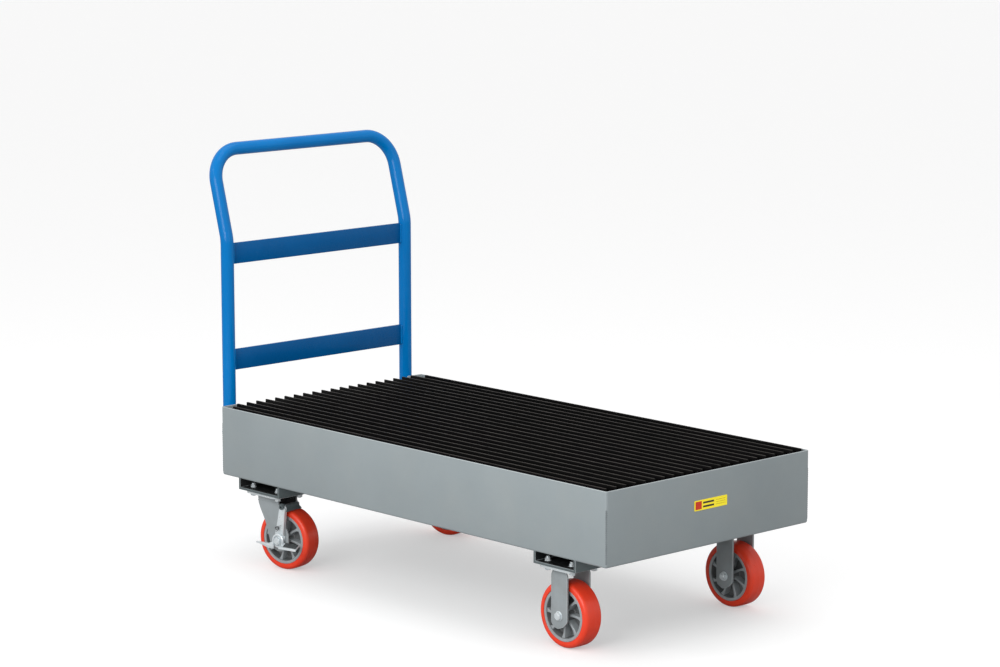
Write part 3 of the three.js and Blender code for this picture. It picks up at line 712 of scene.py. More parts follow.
def weld_bead(name, start, end, radius):
    """A rippled bead between two points, in metres: a bulge at its start, a taper at its end."""
    run = end - start
    count = max(4, round(run.length / (radius * BEAD["step"] * MM)))
    swells = [BEAD["narrow"] if i % 2 else BEAD["wide"] for i in range(count)]
    swells[0], swells[-1] = BEAD["first"], BEAD["last"]
    clear_selection()
    bpy.ops.mesh.primitive_circle_add(
        vertices=10, radius=radius * BEAD["start"] * MM, fill_type="NGON"
    )
    piece = named(name)
    bpy.ops.object.mode_set(mode="EDIT")
    bpy.ops.mesh.select_all(action="SELECT")
    for number, swell in enumerate(swells, 1):
        push(Vector((0, 0, run.length / count)))
        middle = (0, 0, run.length * number / count)
        bpy.ops.transform.resize(value=(swell, swell, 1), center_override=middle)
    tidy_surface()
    turn = run.to_track_quat("Z", "Y").to_matrix().to_4x4()
    piece.matrix_world = Matrix.Translation(start) @ turn
    alone(piece)
    settle()
    smooth(piece, 60)
    wear(piece, WELD)
    return piece


def beads(name, runs, radius):
    """Weld beads of one size along several runs, as one piece."""
    return join(name, *[weld_bead("bead", start, end, radius) for start, end in runs])


def hexagon(name, radius, thick):
    """A hex head or nut along Z from 0, its corners chamfered as they are when turned."""
    clear_selection()
    bpy.ops.mesh.primitive_cylinder_add(
        vertices=6, radius=radius * MM, depth=thick * MM, location=mm(0, 0, thick / 2)
    )
    piece = named(name)
    settle()
    face, corner, lean = radius * 0.91, radius * 1.03, radius * 0.07
    barrel = [(0, 0), (face, 0), (corner, lean), (corner, thick - lean), (face, thick), (0, thick)]
    cut(piece, turned("barrel", barrel, 48, "Z"), "INTERSECT")
    smooth(piece, 20)
    return piece


def washer(name, bore, radius, thick, edge=0.3):
    profile = [
        (bore, 0), (radius - edge, 0), (radius, edge),
        (radius, thick - edge), (radius - edge, thick), (bore, thick),
    ]
    return ring(name, profile, 32, "Z")


def threaded(name, radius, start, end, pitch=1.25):
    """A screwed rod along Z, its thread as fine rings, its ends chamfered."""
    chamfer, depth, plain = 0.9, 0.55, 1.1
    profile = [(0, start), (radius - chamfer, start), (radius, start + chamfer)]
    for i in range(int((end - start - 2 * plain) / pitch)):
        z = start + plain + i * pitch
        profile += [(radius - depth, z + pitch / 2), (radius, z + pitch)]
    profile += [(radius - chamfer, end), (0, end)]
    return turned(name, profile, 20, "Z")


def bolt_set(name, shank, head, low_washer, high_washer, nut, faces, ends, pitch=1.25):
    """A bolt along Z: head and washer below one face, washer and nut above the other.

    Head, washers and nut are each a radius and a thickness.
    """
    bottom, top = faces
    under = bottom - low_washer[1]
    piece = join(
        name,
        lifted(hexagon("head", *head), under - head[1]),
        lifted(washer("washer", shank, *low_washer), under),
        lifted(washer("washer", shank, *high_washer), top),
        lifted(hexagon("nut", *nut), top + high_washer[1]),
        threaded("thread", shank, *ends, pitch),
    )
    wear(piece, ZINC_AND_EDGE_HIGHLIGHT)
    return piece


def dowel(name, radius, start, end, steps=32, axis="Z"):
    """A plain round rod, used to drill with."""
    return turned(name, [(0, start), (radius, start), (radius, end), (0, end)], steps, axis)


def both_sides(side):
    """A (radius, place) profile followed by its mirror image."""
    return side + [(radius, -place) for radius, place in reversed(side)]


def lifted(piece, height):
    piece.data.transform(Matrix.Translation(mm(0, 0, height)))
    return piece


def hand_over(piece, body, slot, *nodes):
    """Says what a finished piece rides on, and the frame nodes that it stands for; its slot is not
    used.
    """
    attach(piece, body)
    if nodes:
        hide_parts(*nodes)


def softened_copy(node, name, width, *materials):
    """A merged copy of a frame node with rounded edges."""
    twin = copy_of(frame["nodes"][node], name)
    twin.parent = None
    for key in list(twin.keys()):
        del twin[key]
    alone(twin)
    bpy.ops.object.mode_set(mode="EDIT")
    bpy.ops.mesh.select_all(action="SELECT")
    bpy.ops.mesh.remove_doubles(threshold=1e-6)
    bpy.ops.mesh.dissolve_limited(angle_limit=math.radians(1))
    leave()
    wear(twin, *materials)
    soften(twin, width, 2, len(materials) - 1)
    return twin


# ---------------------------------------------------------------- tray
def tray_shell():
    """Folded and welded sheet: floor, long walls, front wall, and a lower handle-end wall."""
    piece = block("tray_shell", tray_low, tray_high)
    wear(piece, GREY, GREY_EDGE)
    pick(piece, "FACE", lambda centre, normal: normal.z > 0.5)
    bpy.ops.mesh.delete(type="ONLY_FACE")
    leave()
    pick(piece, "EDGE", lambda a, b: abs(a.z - b.z) > 0.01)
    bpy.ops.mesh.bevel(offset=TRAY["corner"] * MM, segments=4, affect="EDGES")
    leave()
    pick(piece, "EDGE", lambda a, b: max(a.z, b.z) < tray_low.z + 0.5 * MM)
    bpy.ops.mesh.bevel(offset=TRAY["fold"] * MM, segments=4, affect="EDGES")
    tidy_surface()
    modify(piece, "SOLIDIFY", thickness=SHEET * MM, offset=-1)
    reach = tray_high.y - TRAY["ear"] * MM
    notch = block(
        "notch",
        Vector((tray_low.x - 0.01, -reach, tray_high.z - TRAY["drop"] * MM)),
        Vector((tray_low.x + 0.01, reach, tray_high.z + 0.01)),
    )
    cut(piece, notch)
    soften(piece, 1.1, 3, 1)
    return piece


def tray_welds():
    """Fillet welds up the four inside corners."""
    reach = tray_high.y - SHEET * MM
    low = tray_low.z + CORNER_WELD["above_floor"] * MM
    high = tray_high.z - CORNER_WELD["below_rim"] * MM
    runs = []
    for x in (tray_low.x + SHEET * MM, tray_high.x - SHEET * MM):
        for y in (-reach, reach):
            runs.append((Vector((x, y, low)), Vector((x, y, high))))
    return beads("tray_corner_welds", runs, CORNER_WELD["radius"])


def channel_welds(node):
    """Stitch welds along both flanges, where the channel meets the tray's underside."""
    low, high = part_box(node)
    half = STITCH_WELD["half"]
    runs = []
    for x in (low.x, high.x):
        for y in STITCH_WELD["places"]:
            runs.append([Vector((x, (y + reach) * MM, high.z)) for reach in (-half, half)])
    return beads(f"{node}_welds", runs, STITCH_WELD["radius"])


def make_tray():
    hand_over(tray_shell(), "chassis", "grey_paint", "sump_tray", "front_wall", "handle_end_wall")
    hand_over(tray_welds(), "chassis", "grey_paint")
    for node in ("rear_ledge", "front_ledge", "cross_support_1", "cross_support_2"):
        angle = softened_copy(node, f"{node}_angle", 0.8, GREY, GREY_EDGE)
        hand_over(angle, "chassis", "grey_paint", node)
    for node in ("rigid_channel", "swivel_channel"):
        rail = softened_copy(node, f"{node}_rail", 1.0, GREY_PAINTED_SHADE, GREY_PAINTED_DEEP_SHADE, FORK_GREY)
        middle = sum(corner.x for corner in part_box(node)) / 2
        # Faces inside the channel and facing up take the near-black painted deep shade; the outer
        # faces take the grey darkened as painted shade, and the rounded edges the caster grey.
        for face in rail.data.polygons:
            inward = face.normal.x * (face.center.x - middle) < -1e-3
            if face.material_index == 0 and (inward or face.normal.z > 0.5):
                face.material_index = 1
        hand_over(rail, "chassis", "grey_paint", node)
        hand_over(channel_welds(node), "chassis", "grey_paint")


def printed(name, across, upward, centre, ink):
    """One printed shape on the name plate, a hair proud of the film."""
    (left, right), (low, high) = across, upward
    face, middle = centre
    low, high = middle + low, middle + high
    outline = [(left, low), (right, low), (right, high), (left, high)]
    piece = flat_piece(name, outline, face - 0.1, face + 0.05, "X")
    wear(piece, ink)
    return piece


def name_plate():
    """A film plate with round corners, a plain red block and plain bars in place of any words."""
    low, high = (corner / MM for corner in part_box("name_label"))
    half_y, half_z = (high.y - low.y) / 2, (high.z - low.z) / 2
    centre = (high.x, (high.z + low.z) / 2)
    corners = rounded_rectangle(half_y, half_z, LABEL["corner"], 3)
    outline = [(y, z + centre[1]) for y, z in corners]
    film = flat_piece("name_plate", outline, low.x, high.x, "X")
    soften(film, 0.12, 1)
    wear(film, YELLOW)
    prints = [printed("red_block", *LABEL["block"], centre, RED)]
    for name, across, heights, thick in (
        ("bar", LABEL["bars"], LABEL["bar_z"], LABEL["bar_thick"]),
        ("thin_bar", LABEL["rules"], LABEL["rule_z"], LABEL["rule_thick"]),
    ):
        prints += [printed(name, across, (z, z + thick), centre, INK) for z in heights]
    hand_over(join("name_plate", film, *prints), "chassis", "label_film", "name_label")


# ---------------------------------------------------------------- deck
def grating_bar(name, rear, low_y):
    low = Vector((rear, low_y, deck_high.z - BAR["depth"] * MM))
    high = Vector((deck_high.x, low_y + BAR["thick"] * MM, deck_high.z))
    bar = block(name, low, high)
    modify(bar, "BEVEL", width=BAR["round"] * MM, segments=2)
    return bar


def cross_rod():
    """A square rod, twisted along its length, under the bars' tops."""
    size, inset = ROD["size"] * MM, ROD["inset"] * MM
    height = deck_high.z - ROD["below"] * MM - size / 2
    length = deck_high.y - deck_low.y - 2 * inset
    steps = round(length / (ROD["step"] * MM))
    clear_selection()
    bpy.ops.mesh.primitive_plane_add(size=size * ROD["waist"], rotation=(math.pi / 2, 0, 0))
    rod = named("cross_rod")
    settle()
    bpy.ops.object.mode_set(mode="EDIT")
    bpy.ops.mesh.select_all(action="SELECT")
    for i in range(steps):
        push(Vector((0, length / steps, 0)))
        bpy.ops.transform.rotate(
            value=math.radians(ROD["twist"]), orient_axis="Y",
            center_override=(0, (i + 1) * length / steps, 0),
        )
    tidy_surface()
    rod.data.transform(Matrix.Translation((0, deck_low.y + inset, height)))
    return rod


def repeat(piece, count, step):
    """Repeats a piece at even steps, in metres."""
    modify(piece, "ARRAY", count=count, use_relative_offset=False,
           use_constant_offset=True, constant_offset_displace=step)


def make_deck():
    """Bearing bars along the truck; the two outer ones stop short of the handle's bolts."""
    thick, end = BAR["thick"] * MM, ROD["end"] * MM
    pitch = (deck_high.y - deck_low.y - thick) / (BAR["count"] - 1)
    bars = grating_bar("bars", deck_low.x, deck_low.y + pitch)
    repeat(bars, BAR["count"] - 2, (0, pitch, 0))
    short = deck_low.x + BAR["outer_short"] * MM
    outer = [grating_bar("outer_bar", short, y) for y in (deck_low.y, deck_high.y - thick)]
    rods = cross_rod()
    first = short + end
    rods.data.transform(Matrix.Translation((first, 0, 0)))
    repeat(rods, ROD["count"], ((deck_high.x - end - first) / (ROD["count"] - 1), 0, 0))
    for piece in (bars, *outer, rods):
        wear(piece, DECK)
    deck = join("bar_grating", bars, *outer, rods)
    smooth(deck, 25)
    hand_over(deck, "deck", "deck_black", "deck_grating")


# ---------------------------------------------------------------- handle
def handle_tube():
    """One tube: up the post, back at the knee, over the top bend and across, then mirrored."""
    radius, lean = TUBE["radius"] * MM, HANDLE["lean"]
    knee_radius, top_radius = HANDLE["knee_radius"] * MM, HANDLE["top_radius"] * MM
    up, back, across = Vector((0, 0, 1)), Vector((-1, 0, 0)), Vector((0, 1, 0))
    foot = Vector((post_x, -post_y, tube_low.z))
    knee_z = tray_low.z + HANDLE["knee"] * MM - knee_radius * math.tan(lean / 2)
    knee_start = Vector((post_x, -post_y, knee_z))
    clear_selection()
    bpy.context.tool_settings.mesh_select_mode = (True, False, False)
    bpy.ops.mesh.primitive_circle_add(vertices=TUBE["sides"], radius=radius, location=foot)
    tube = named("bent_handle")
    settle()
    bpy.ops.object.mode_set(mode="EDIT")
    bpy.ops.mesh.select_all(action="SELECT")
    push(knee_start - foot)
    centre = knee_start + back * knee_radius
    bpy.ops.mesh.spin(steps=8, angle=-lean, center=centre, axis=up.cross(back))
    leaning = up * math.cos(lean) + back * math.sin(lean)
    knee_end = centre + (up * math.sin(lean) - back * math.cos(lean)) * knee_radius
    run = (tube_high.z - radius - knee_end.z) / math.cos(lean) - top_radius
    push(leaning * run)
    centre = knee_end + leaning * run + across * top_radius
    bpy.ops.mesh.spin(steps=20, angle=-math.pi / 2, center=centre, axis=leaning.cross(across))
    push(across * (post_y - top_radius))
    tidy_surface()
    modify(tube, "MIRROR", use_axis=(False, True, False), use_mirror_merge=True,
           merge_threshold=1e-5)
    modify(tube, "SOLIDIFY", thickness=TUBE["wall"] * MM, offset=-1)
    smooth(tube, 50)
    wear(tube, BLUE)
    return tube


def crossbar_welds(node):
    """A bead down each face of the bar at each post."""
    low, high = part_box(node)
    proud, margin = CROSSBAR_WELD["proud"] * MM, CROSSBAR_WELD["margin"] * MM
    reach = post_y - TUBE["radius"] * MM
    runs = []
    for x in (low.x - proud, high.x + proud):
        for y in (-reach, reach):
            runs.append((Vector((x, y, low.z + margin)), Vector((x, y, high.z - margin))))
    piece = beads(f"{node}_welds", runs, CROSSBAR_WELD["radius"])
    wear(piece, BLUE)
    return piece


def make_handle():
    hand_over(handle_tube(), "chassis", "handle_blue", "handle_tube")
    for node in ("lower_crossbar", "upper_crossbar"):
        # The crossbars take the blue darkened as painted shade.
        bar = softened_copy(node, f"{node}_flat", 0.8, BLUE_PAINTED_SHADE)
        hand_over(bar, "chassis", "handle_blue", node)
        hand_over(crossbar_welds(node), "chassis", "handle_blue")
    grip = 2 * TUBE["radius"] + SHEET + 0.6
    bolt = bolt_set(
        "handle_bolt", BOLT["shank"], (8, 5.2), (9.5, 1.4), (9.5, 1.4), (8, 6.4),
        (0, grip), (0, grip + 12),
    )
    sideways = Matrix.Rotation(math.pi / 2, 4, "Y")
    for hand in ("right", "left"):
        middle = sum(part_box(f"handle_bolt_{hand}"), Vector()) / 2
        at = Matrix.Translation((post_x - TUBE["radius"] * MM, middle.y, middle.z)) @ sideways
        placed = copy_of(bolt, f"handle_{hand}_hex_bolt", at)
        hand_over(placed, "chassis", "zinc_plate", f"handle_bolt_{hand}")
    bpy.data.objects.remove(bolt)


# ---------------------------------------------------------------- wheel
def tread():
    """Moulded tread with soft shoulders and a faint mould line round its middle."""
    radius, half, soft = WHEEL["radius"] - 0.4, WHEEL["half"], WHEEL["shoulder"]
    inner = WHEEL["core"] + 0.3
    right = [(inner, half - 0.8), (inner + 0.8, half)]
    right += arc((radius - soft, half - soft), soft, 90, 0, 9)
    right += [(radius + 0.28, 7), (radius + 0.3, 0.7)]
    left = [(r, -place) for r, place in reversed(right)]
    piece = ring("tread", [*right, (radius + 0.4, 0), *left], 96)
    wear(piece, TREAD)
    return piece


def rib():
    """One curved rib on the web, thicker where it meets hub and rim."""
    stations = [(15, 3.6), (22, 2.9), (30, 2.5), (38, 2.6), (46, 3.2), (52.5, 5.4)]
    first, last = stations[0][0], stations[-1][0]
    right, left = [], []
    for radius, half in stations:
        turn = RIBS["swirl"] * ((radius - first) / (last - first)) ** 2
        out = Vector((math.cos(turn), math.sin(turn)))
        side = Vector((-out.y, out.x)) * half
        right.append(tuple(out * radius - side))
        left.append(tuple(out * radius + side))
    piece = flat_piece("rib", right + left[::-1], HUB["web"] - 1, RIBS["top"], "Y")
    pick(piece, "FACE", lambda centre, normal: normal.y > 0.9)
    bpy.ops.mesh.bevel(offset=0.9 * MM, segments=2, affect="EDGES")
    leave()
    return piece


def rib_ring():
    """All the ribs of both faces of the web."""
    outer = rib()
    pick(outer, "FACE", lambda centre, normal: True)
    more = RIBS["count"] - 1
    turn = 2 * math.pi * more / RIBS["count"]
    bpy.ops.mesh.spin(steps=more, dupli=True, angle=turn, center=(0, 0, 0), axis=(0, 1, 0))
    tidy_surface()
    inner = copy_of(outer, "inner_ribs", Matrix.Rotation(math.pi, 4, "X"))
    ribs = join("ribs", outer, inner)
    smooth(ribs, 50)
    wear(ribs, CORE)
    return ribs


def wheel_core():
    """Cast body: rim with drafted inside, thin web, ribs and hub."""
    half, web, rim, core = WHEEL["half"] - 1, HUB["web"], HUB["rim"], WHEEL["core"]
    hub, hub_half = HUB["radius"], HUB["half"]
    side = [
        (HUB["bore"], hub_half), (hub - 1, hub_half), (hub, hub_half - 1),
        (hub + 1.4, web + 5), *arc((hub + 5.2, web + 3.6), 3.6, 180, 270, 4),
        *arc((46, web + 4), 4, 270, 350, 4), (rim, half - 1.5), (rim + 1, half),
        (core - 0.8, half), (core, half - 0.8),
    ]
    body = ring("core_body", both_sides(side), 72)
    wear(body, CORE, RECESS)
    # The web between hub and rim takes the darker recess grey: partly a darker cast tone, partly
    # painted shade.
    for face in body.data.polygons:
        centre = face.center / MM
        radius = math.hypot(centre.x, centre.z)
        recess = hub + 0.2 < radius < rim - 0.1 and abs(centre.y) < half - 2
        face.material_index = int(recess)
    return join("core", body, rib_ring())


def hub_bearing():
    """Roller bearing sleeve with a turned-in end at both sides."""
    end = HUB["half"] - 0.3
    side = [(6.7, end), (7.2, end), (7.6, end - 0.7), (8.6, end - 0.7), (9.2, end), (10, end - 0.3)]
    piece = ring("bearing", both_sides(side), 36)
    wear(piece, STEEL)
    return piece


def grease_fitting():
    """A small nipple along Z: hex foot, neck and ball."""
    ball = arc((0, 6.6), 2.1, -35, 80, 5)
    profile = [(0, 2), (2.2, 2), (2.0, 3.2), (1.5, 3.8), (1.5, 5.2), *ball, (0, 8.7)]
    nipple = turned("nipple", profile, 20, "Z")
    piece = join("grease_fitting", hexagon("foot", 3.6, 2.6), nipple)
    wear(piece, ZINC_AND_EDGE_HIGHLIGHT)
    return piece


def axle_bolt(head_face, nut_face):
    """Axle through the fork: chamfered head, washer, thread end, washer and nut."""
    head, thick = AXLE["head"], AXLE["thick"]
    ends = (-head_face - thick - 0.8, nut_face + thick + 4.5)
    piece = bolt_set(
        "axle", AXLE["radius"], (head, thick - 1), AXLE["washer"], AXLE["washer"], (head, thick),
        (-head_face, nut_face), ends, AXLE["pitch"],
    )
    piece.data.transform(Matrix.Rotation(-math.pi / 2, 4, "X"))
    return piece


# ---------------------------------------------------------------- caster parts
def mount_bolt():
    """Plate bolt along Z at its real height: head below the plate, nut in the channel."""
    web_top = channel_bottom + 6
    return bolt_set(
        "plate_bolt", BOLT["shank"], (7.5, 5.6), (8.6, 1.4), (7.4, 1), (6.6, 5),
        (plate_bottom - 0.3, web_top + 0.2), (plate_bottom - 8.6, web_top + 10.5),
    )


def caster_plate(name, half_x, bolt_x):
    """Round-cornered plate with four drilled holes."""
    outline = rounded_rectangle(half_x, PLATE["half_y"], PLATE["corner"])
    piece = flat_piece(name, outline, plate_bottom, plate_top, "Z")
    for x in (-bolt_x, bolt_x):
        for y in (-BOLT["y"], BOLT["y"]):
            drill = dowel("drill", PLATE["hole"], plate_bottom - 5, plate_top + 5, 24)
            drill.data.transform(Matrix.Translation(mm(x, y, 0)))
            cut(piece, drill)
    wear(piece, FORK_GREY, ZINC_AND_EDGE_HIGHLIGHT)
    # Side faces and rounded edges take the bright zinc colour as a painted highlight along the
    # plate's edges.
    for face in piece.data.polygons:
        face.material_index = int(abs(face.normal.z) < 0.5)
    soften(piece, 0.8, 2, 1)
    return piece


def caster_leg(outline, side):
    """A leg cut to an outline, beside the wheel, its edges softened and given the lighter edge-wear
    grey.
    """
    piece = flat_piece("leg", outline, side * LEG["inner"], side * LEG["outer"], "Y")
    wear(piece, FORK_GREY, GREY_EDGE)
    soften(piece, 0.9, 2, 1)
    return piece


def rigid_leg(side):
    """Straight leg with cut shoulders and a narrowed, rounded foot below the axle."""
    half, chamfer, foot = RIGID_LEG["half"], RIGID_LEG["chamfer"], RIGID_LEG["foot"]
    shoulder = plate_bottom - 2 * chamfer
    outline = [
        (-half + chamfer, plate_bottom), (-half, shoulder), (-half, foot + 6),
        (-half + 1, foot), (-half + 4, foot - 5), *arc((-5, foot), 12, 225, 300, 8),
        (half - 12, foot - 6), (half - 5, foot + 1), (half - 1, foot + 6), (half, foot + 11),
        (half, shoulder), (half - chamfer, plate_bottom),
    ]
    return caster_leg(outline, side)


def leg_welds():
    """Beads outside and inside each rigid leg's top edge, up to the plate."""
    reach = RIGID_LEG["half"] - RIGID_LEG["chamfer"]
    z = plate_bottom - LEG_WELD["below"]
    runs = []
    for side in (-1, 1):
        for y in (LEG["outer"] + LEG_WELD["proud"], LEG["inner"] - LEG_WELD["proud"]):
            runs.append((mm(-reach, side * y, z), mm(reach, side * y, z)))
    return beads("leg_welds", runs, LEG_WELD["radius"])


def rigid_frame():
    plate = caster_plate("plate", RIGID_PLATE["half_x"], RIGID_PLATE["bolt_x"])
    return join("rigid_fork", plate, rigid_leg(-1), rigid_leg(1), leg_welds())


def swivel_plate():
    """Top plate with the upper raceway pressed down from it."""
    plate = caster_plate("plate", SWIVEL_PLATE["half_x"], SWIVEL_PLATE["bolt_x"])
    bottom = plate_bottom - SWIVEL_PLATE["race_drop"]
    profile = [
        (20, plate_bottom), (30.5, plate_bottom), (30.2, plate_bottom - 1.6),
        (29.6, bottom + 0.6), (28.4, bottom), (20, bottom),
    ]
    race = ring("race", profile, 64, "Z")
    # The raceway takes the painted deep shade, darkening the gap under the plate.
    wear(race, GREY_PAINTED_DEEP_SHADE)
    return join("swivel_top", plate, race)


def kingpin():
    """King bolt through crown and plate, its nut under the crown."""
    under = CROWN["bottom"] - 0.3
    low, high = under - 8.2, plate_top - 0.3
    nut = lifted(hexagon("nut", 14, 6), under - 6)
    profile = [(0, low), (6.5, low), (8.8, low + 1.8), (8.8, high - 0.7), (7.8, high), (0, high)]
    piece = join("pin_and_nut", nut, turned("pin", profile, 32, "Z"))
    wear(piece, ZINC_AND_EDGE_HIGHLIGHT)
    return piece


def swivel_leg(side):
    """Leg that leans from under the crown to a round foot at the axle."""
    top = plate_bottom - SWIVEL["leg_clear"]
    trail, shoulder, centre = SWIVEL["trail"], SWIVEL["shoulder"], WHEEL["radius"]
    outline = [
        (-shoulder, top), (-shoulder + 1.5, top - 18), (-shoulder + 7, top - 32),
        (-7, centre + 43), (0.5, centre + 22), *arc((trail - 3, centre + 1), 29, 195, 345, 14),
        (trail + 24, centre + 18), (trail + 14, centre + 40), (trail + 2, top - 34),
        (trail - 3, top - 18), (trail - 5, top - 9), (trail - 11, top),
    ]
    return caster_leg(outline, side)


def yoke():
    """Pressed crown with the lower raceway, a bent bridge, a sheet across the front painted as deep
    shade of the fork's opening, and two legs.
    """
    bottom, top, radius, bore = (CROWN[k] for k in ("bottom", "top", "radius", "bore"))
    profile = [
        (bore, bottom), (radius - 1.5, bottom), (radius, bottom + 1.5),
        (radius, top - 1.2), (radius - 1.2, top), (31, top), (30.4, top + 2.6),
        (28, top + 4.2), (bore, top + 4.2),
    ]
    crown = ring("crown", profile, 64, "Z")
    rear = mm(-SWIVEL["shoulder"], -LEG["outer"], bottom)
    bridge = block("bridge", rear, mm(SWIVEL["front"], LEG["outer"], top))
    pick(bridge, "EDGE", lambda a, b: min(a.z, b.z) > (top - 1) * MM and abs(a.y - b.y) < 1e-6)
    bpy.ops.mesh.bevel(offset=4 * MM, segments=4, affect="EDGES")
    leave()
    cut(bridge, dowel("bore", bore, 100, 200))
    # A dark sheet across the fork's front opening: painted deep shade where there is only shadow.
    rear = mm(SHADE_SHEET["back"], -LEG["inner"], SHADE_SHEET["low"])
    front = mm(SWIVEL["front"], LEG["inner"], plate_bottom - SHADE_SHEET["clear"])
    shade_sheet = block("shade_sheet", rear, front)
    # Crown and sheet faces take the near-black painted deep shade; the bridge faces and the sheet's
    # rounded edges take the grey darkened as painted shade; the bridge's rounded edges keep the
    # caster grey.
    wear(crown, GREY_PAINTED_DEEP_SHADE)
    wear(bridge, GREY_PAINTED_SHADE, FORK_GREY)
    wear(shade_sheet, GREY_PAINTED_DEEP_SHADE, GREY_PAINTED_SHADE)
    soften(bridge, 0.7, 2, 1)
    soften(shade_sheet, 0.7, 2, 1)
    return join("swivel_fork", crown, bridge, shade_sheet, swivel_leg(-1), swivel_leg(1))


def brake_arm():
    """Strap beside the leg with a folded front edge, a hooked top and a shoe over the tread."""
    face, outer = -BRAKE["face"], -BRAKE["face"] - BRAKE["plate"]
    right = [(17.5, 14), (20, 45), (22.5, 72), (22.5, 82)]
    left = [(18, 88), (8, 88), (2, 82), (-1, 72), (-5, 48), (-12, 18)]
    strap = flat_piece("strap", arc((0, 0), 14.5, 190, 350, 12) + right + left, face, outer, "Y")
    slot = arc((0, 0), 6.8, 180, 360, 8) + arc((0, 1.6), 6.8, 0, 180, 8)
    cut(strap, flat_piece("slot", slot, -60, 0, "Y"))
    inside = [(x - 2.6, z) for x, z in reversed(right)]
    fold = flat_piece("fold", right + inside, outer + 0.5, outer - 6.5, "Y")
    low = WHEEL["radius"] + 0.4
    shoe_outline = [
        (14, low), (19.5, low - 0.8), (25, low - 2.6), (26, low - 0.4),
        (21, low + 2.4), (19, low + 5), (18, low + 12), (14, low + 12),
    ]
    shoe = flat_piece("shoe", shoe_outline, outer, 16, "Y")
    profile = [
        (2.6, -46.5), (5.8, -46.5), (6.4, -45.8), (6.4, -32.2), (5.8, -31.5), (2.6, -31.5),
    ]
    eye = ring("eye", profile, 28)
    eye_x, eye_z = BRAKE["eye"]
    eye.data.transform(Matrix.Translation(mm(eye_x, 0, eye_z)))
    curl = arc(BRAKE["eye"], 8.5, 20, 200, 10) + arc(BRAKE["eye"], 5.4, 200, 20, 10)
    hook = flat_piece("hook", curl, outer - 4, outer, "Y")
    for piece in (strap, fold, shoe, hook):
        soften(piece, 0.6, 2)
    for piece in (strap, fold):
        wear(piece, ZINC_AND_EDGE_HIGHLIGHT)
    # Shoe, hook and eye take the grey darkened as painted shade.
    for piece in (shoe, hook, eye):
        wear(piece, GREY_PAINTED_SHADE)
    return join("side_brake", strap, fold, hook, shoe, eye, brake_spring())


def brake_spring():
    """A torsion spring of round wire beside the strap."""
    radius, steps = SPRING["radius"], SPRING["steps"]
    x, z = SPRING["centre"]
    coil = []
    for i in range(round(SPRING["turns"] * steps) + 1):
        angle, along = 2 * math.pi * i / steps, -SPRING["pitch"] * i / steps
        coil.append((x + radius * math.cos(angle), along, z + radius * math.sin(angle)))
    route = [(-8, 0, 21), *coil, (10, -3.8, 40)]
    outside = -BRAKE["face"] - BRAKE["plate"] - 0.9
    clear_selection()
    bpy.context.tool_settings.mesh_select_mode = (True, False, False)
    bpy.ops.mesh.primitive_circle_add(vertices=8, radius=SPRING["wire"] * MM, fill_type="NGON")
    piece = named("spring")
    bpy.ops.object.mode_set(mode="EDIT")
    bpy.ops.mesh.select_all(action="SELECT")
    points = [mm(x, y + outside, z) for x, y, z in route]
    bpy.ops.transform.translate(value=points[0])
    for before, after in zip(points, points[1:]):
        push(after - before)
    tidy_surface()
    smooth(piece, 60)
    wear(piece, STEEL)
    return piece


def left_wing():
    """A blade that thins out to its tip, bent a little outwards."""
    near = -BRAKE["pedal_face"]
    far = near - 12.4
    front = [(-8, -3), (-24, -8.5), (-62, -9), (-62, -10.4), (-46, -13), (-24, -19), (-8, -19)]
    blade = flat_piece("blade", front, near - 10, far, "Y")
    top = flat_piece("top", [(-8, near), (-62, near - 8), (-62, far), (-8, far)], -9.4, -7.6, "Z")
    for piece in (blade, top):
        soften(piece, 0.6, 2)
    return [blade, top]


def right_wing():
    """A foot plate that slopes outwards, with a turned-down front edge."""
    near = -BRAKE["pedal_face"]
    section = [
        (near, -4), (near - 12.5, -11.5), (near - 15, -12.5), (near - 15.6, -17),
        (near - 13.2, -17.4), (near - 12.6, -14.6), (near, -7),
    ]
    plate = flat_piece("plate", section, 9, 62, "X")
    soften(plate, 0.6, 2)
    return [plate]


def brake_pedal():
    """Rocking foot lever: a boss on the axle and a wing to each side."""
    face, outer = BRAKE["pedal_face"], BRAKE["pedal_face"] + BRAKE["pedal_plate"]
    bore = 7
    profile = [
        (bore, -face), (16, -face), (17, -face - 1), (17, -outer - 1.8),
        (15.4, -outer - 3), (12.4, -outer - 3), (11.4, -outer), (bore, -outer),
    ]
    boss = ring("boss", profile, 48)
    web_outline = [
        (-30, -9), (-12, -2), (12, -2), (30, -9), (30, -14), (10, -15.5), (-10, -15.5), (-30, -13),
    ]
    web = flat_piece("web", web_outline, -face, -outer + 0.6, "Y")
    cut(web, dowel("bore", bore, -60, 0, 32, "Y"))
    soften(web, 0.6, 2)
    piece = join("foot_lever", boss, web, *left_wing(), *right_wing())
    wear(piece, ZINC_AND_EDGE_HIGHLIGHT)
    return piece


def pedal_grip():
    """Ribbed dark facing on the sloping foot plate."""
    near = -BRAKE["pedal_face"]
    slope = [(near - 0.6, -4.1), (near - 12.2, -11), (near - 12.2, -10.2), (near - 0.6, -3.3)]
    raised = [(y, z + RIDGE["high"]) for y, z in slope]
    ridges = [flat_piece("base", slope, 20, 60.5, "X")]
    for i in range(RIDGE["count"]):
        x = RIDGE["first"] + i * RIDGE["pitch"]
        ridges.append(flat_piece("ridge", raised, x, x + RIDGE["wide"], "X"))
    piece = join("grip", *ridges)
    soften(piece, 0.3, 1)
    wear(piece, GRIP)
    return piece


# ---------------------------------------------------------------- casters in place
def set_down(part, prefix, name, place, body, slot, *nodes):
    """Copies a finished part to its place, where it stands for nodes of the same caster."""
    piece = copy_of(part, f"{prefix}_{name}", place)
    hand_over(piece, body, slot, *[f"{prefix}_{node}" for node in nodes])


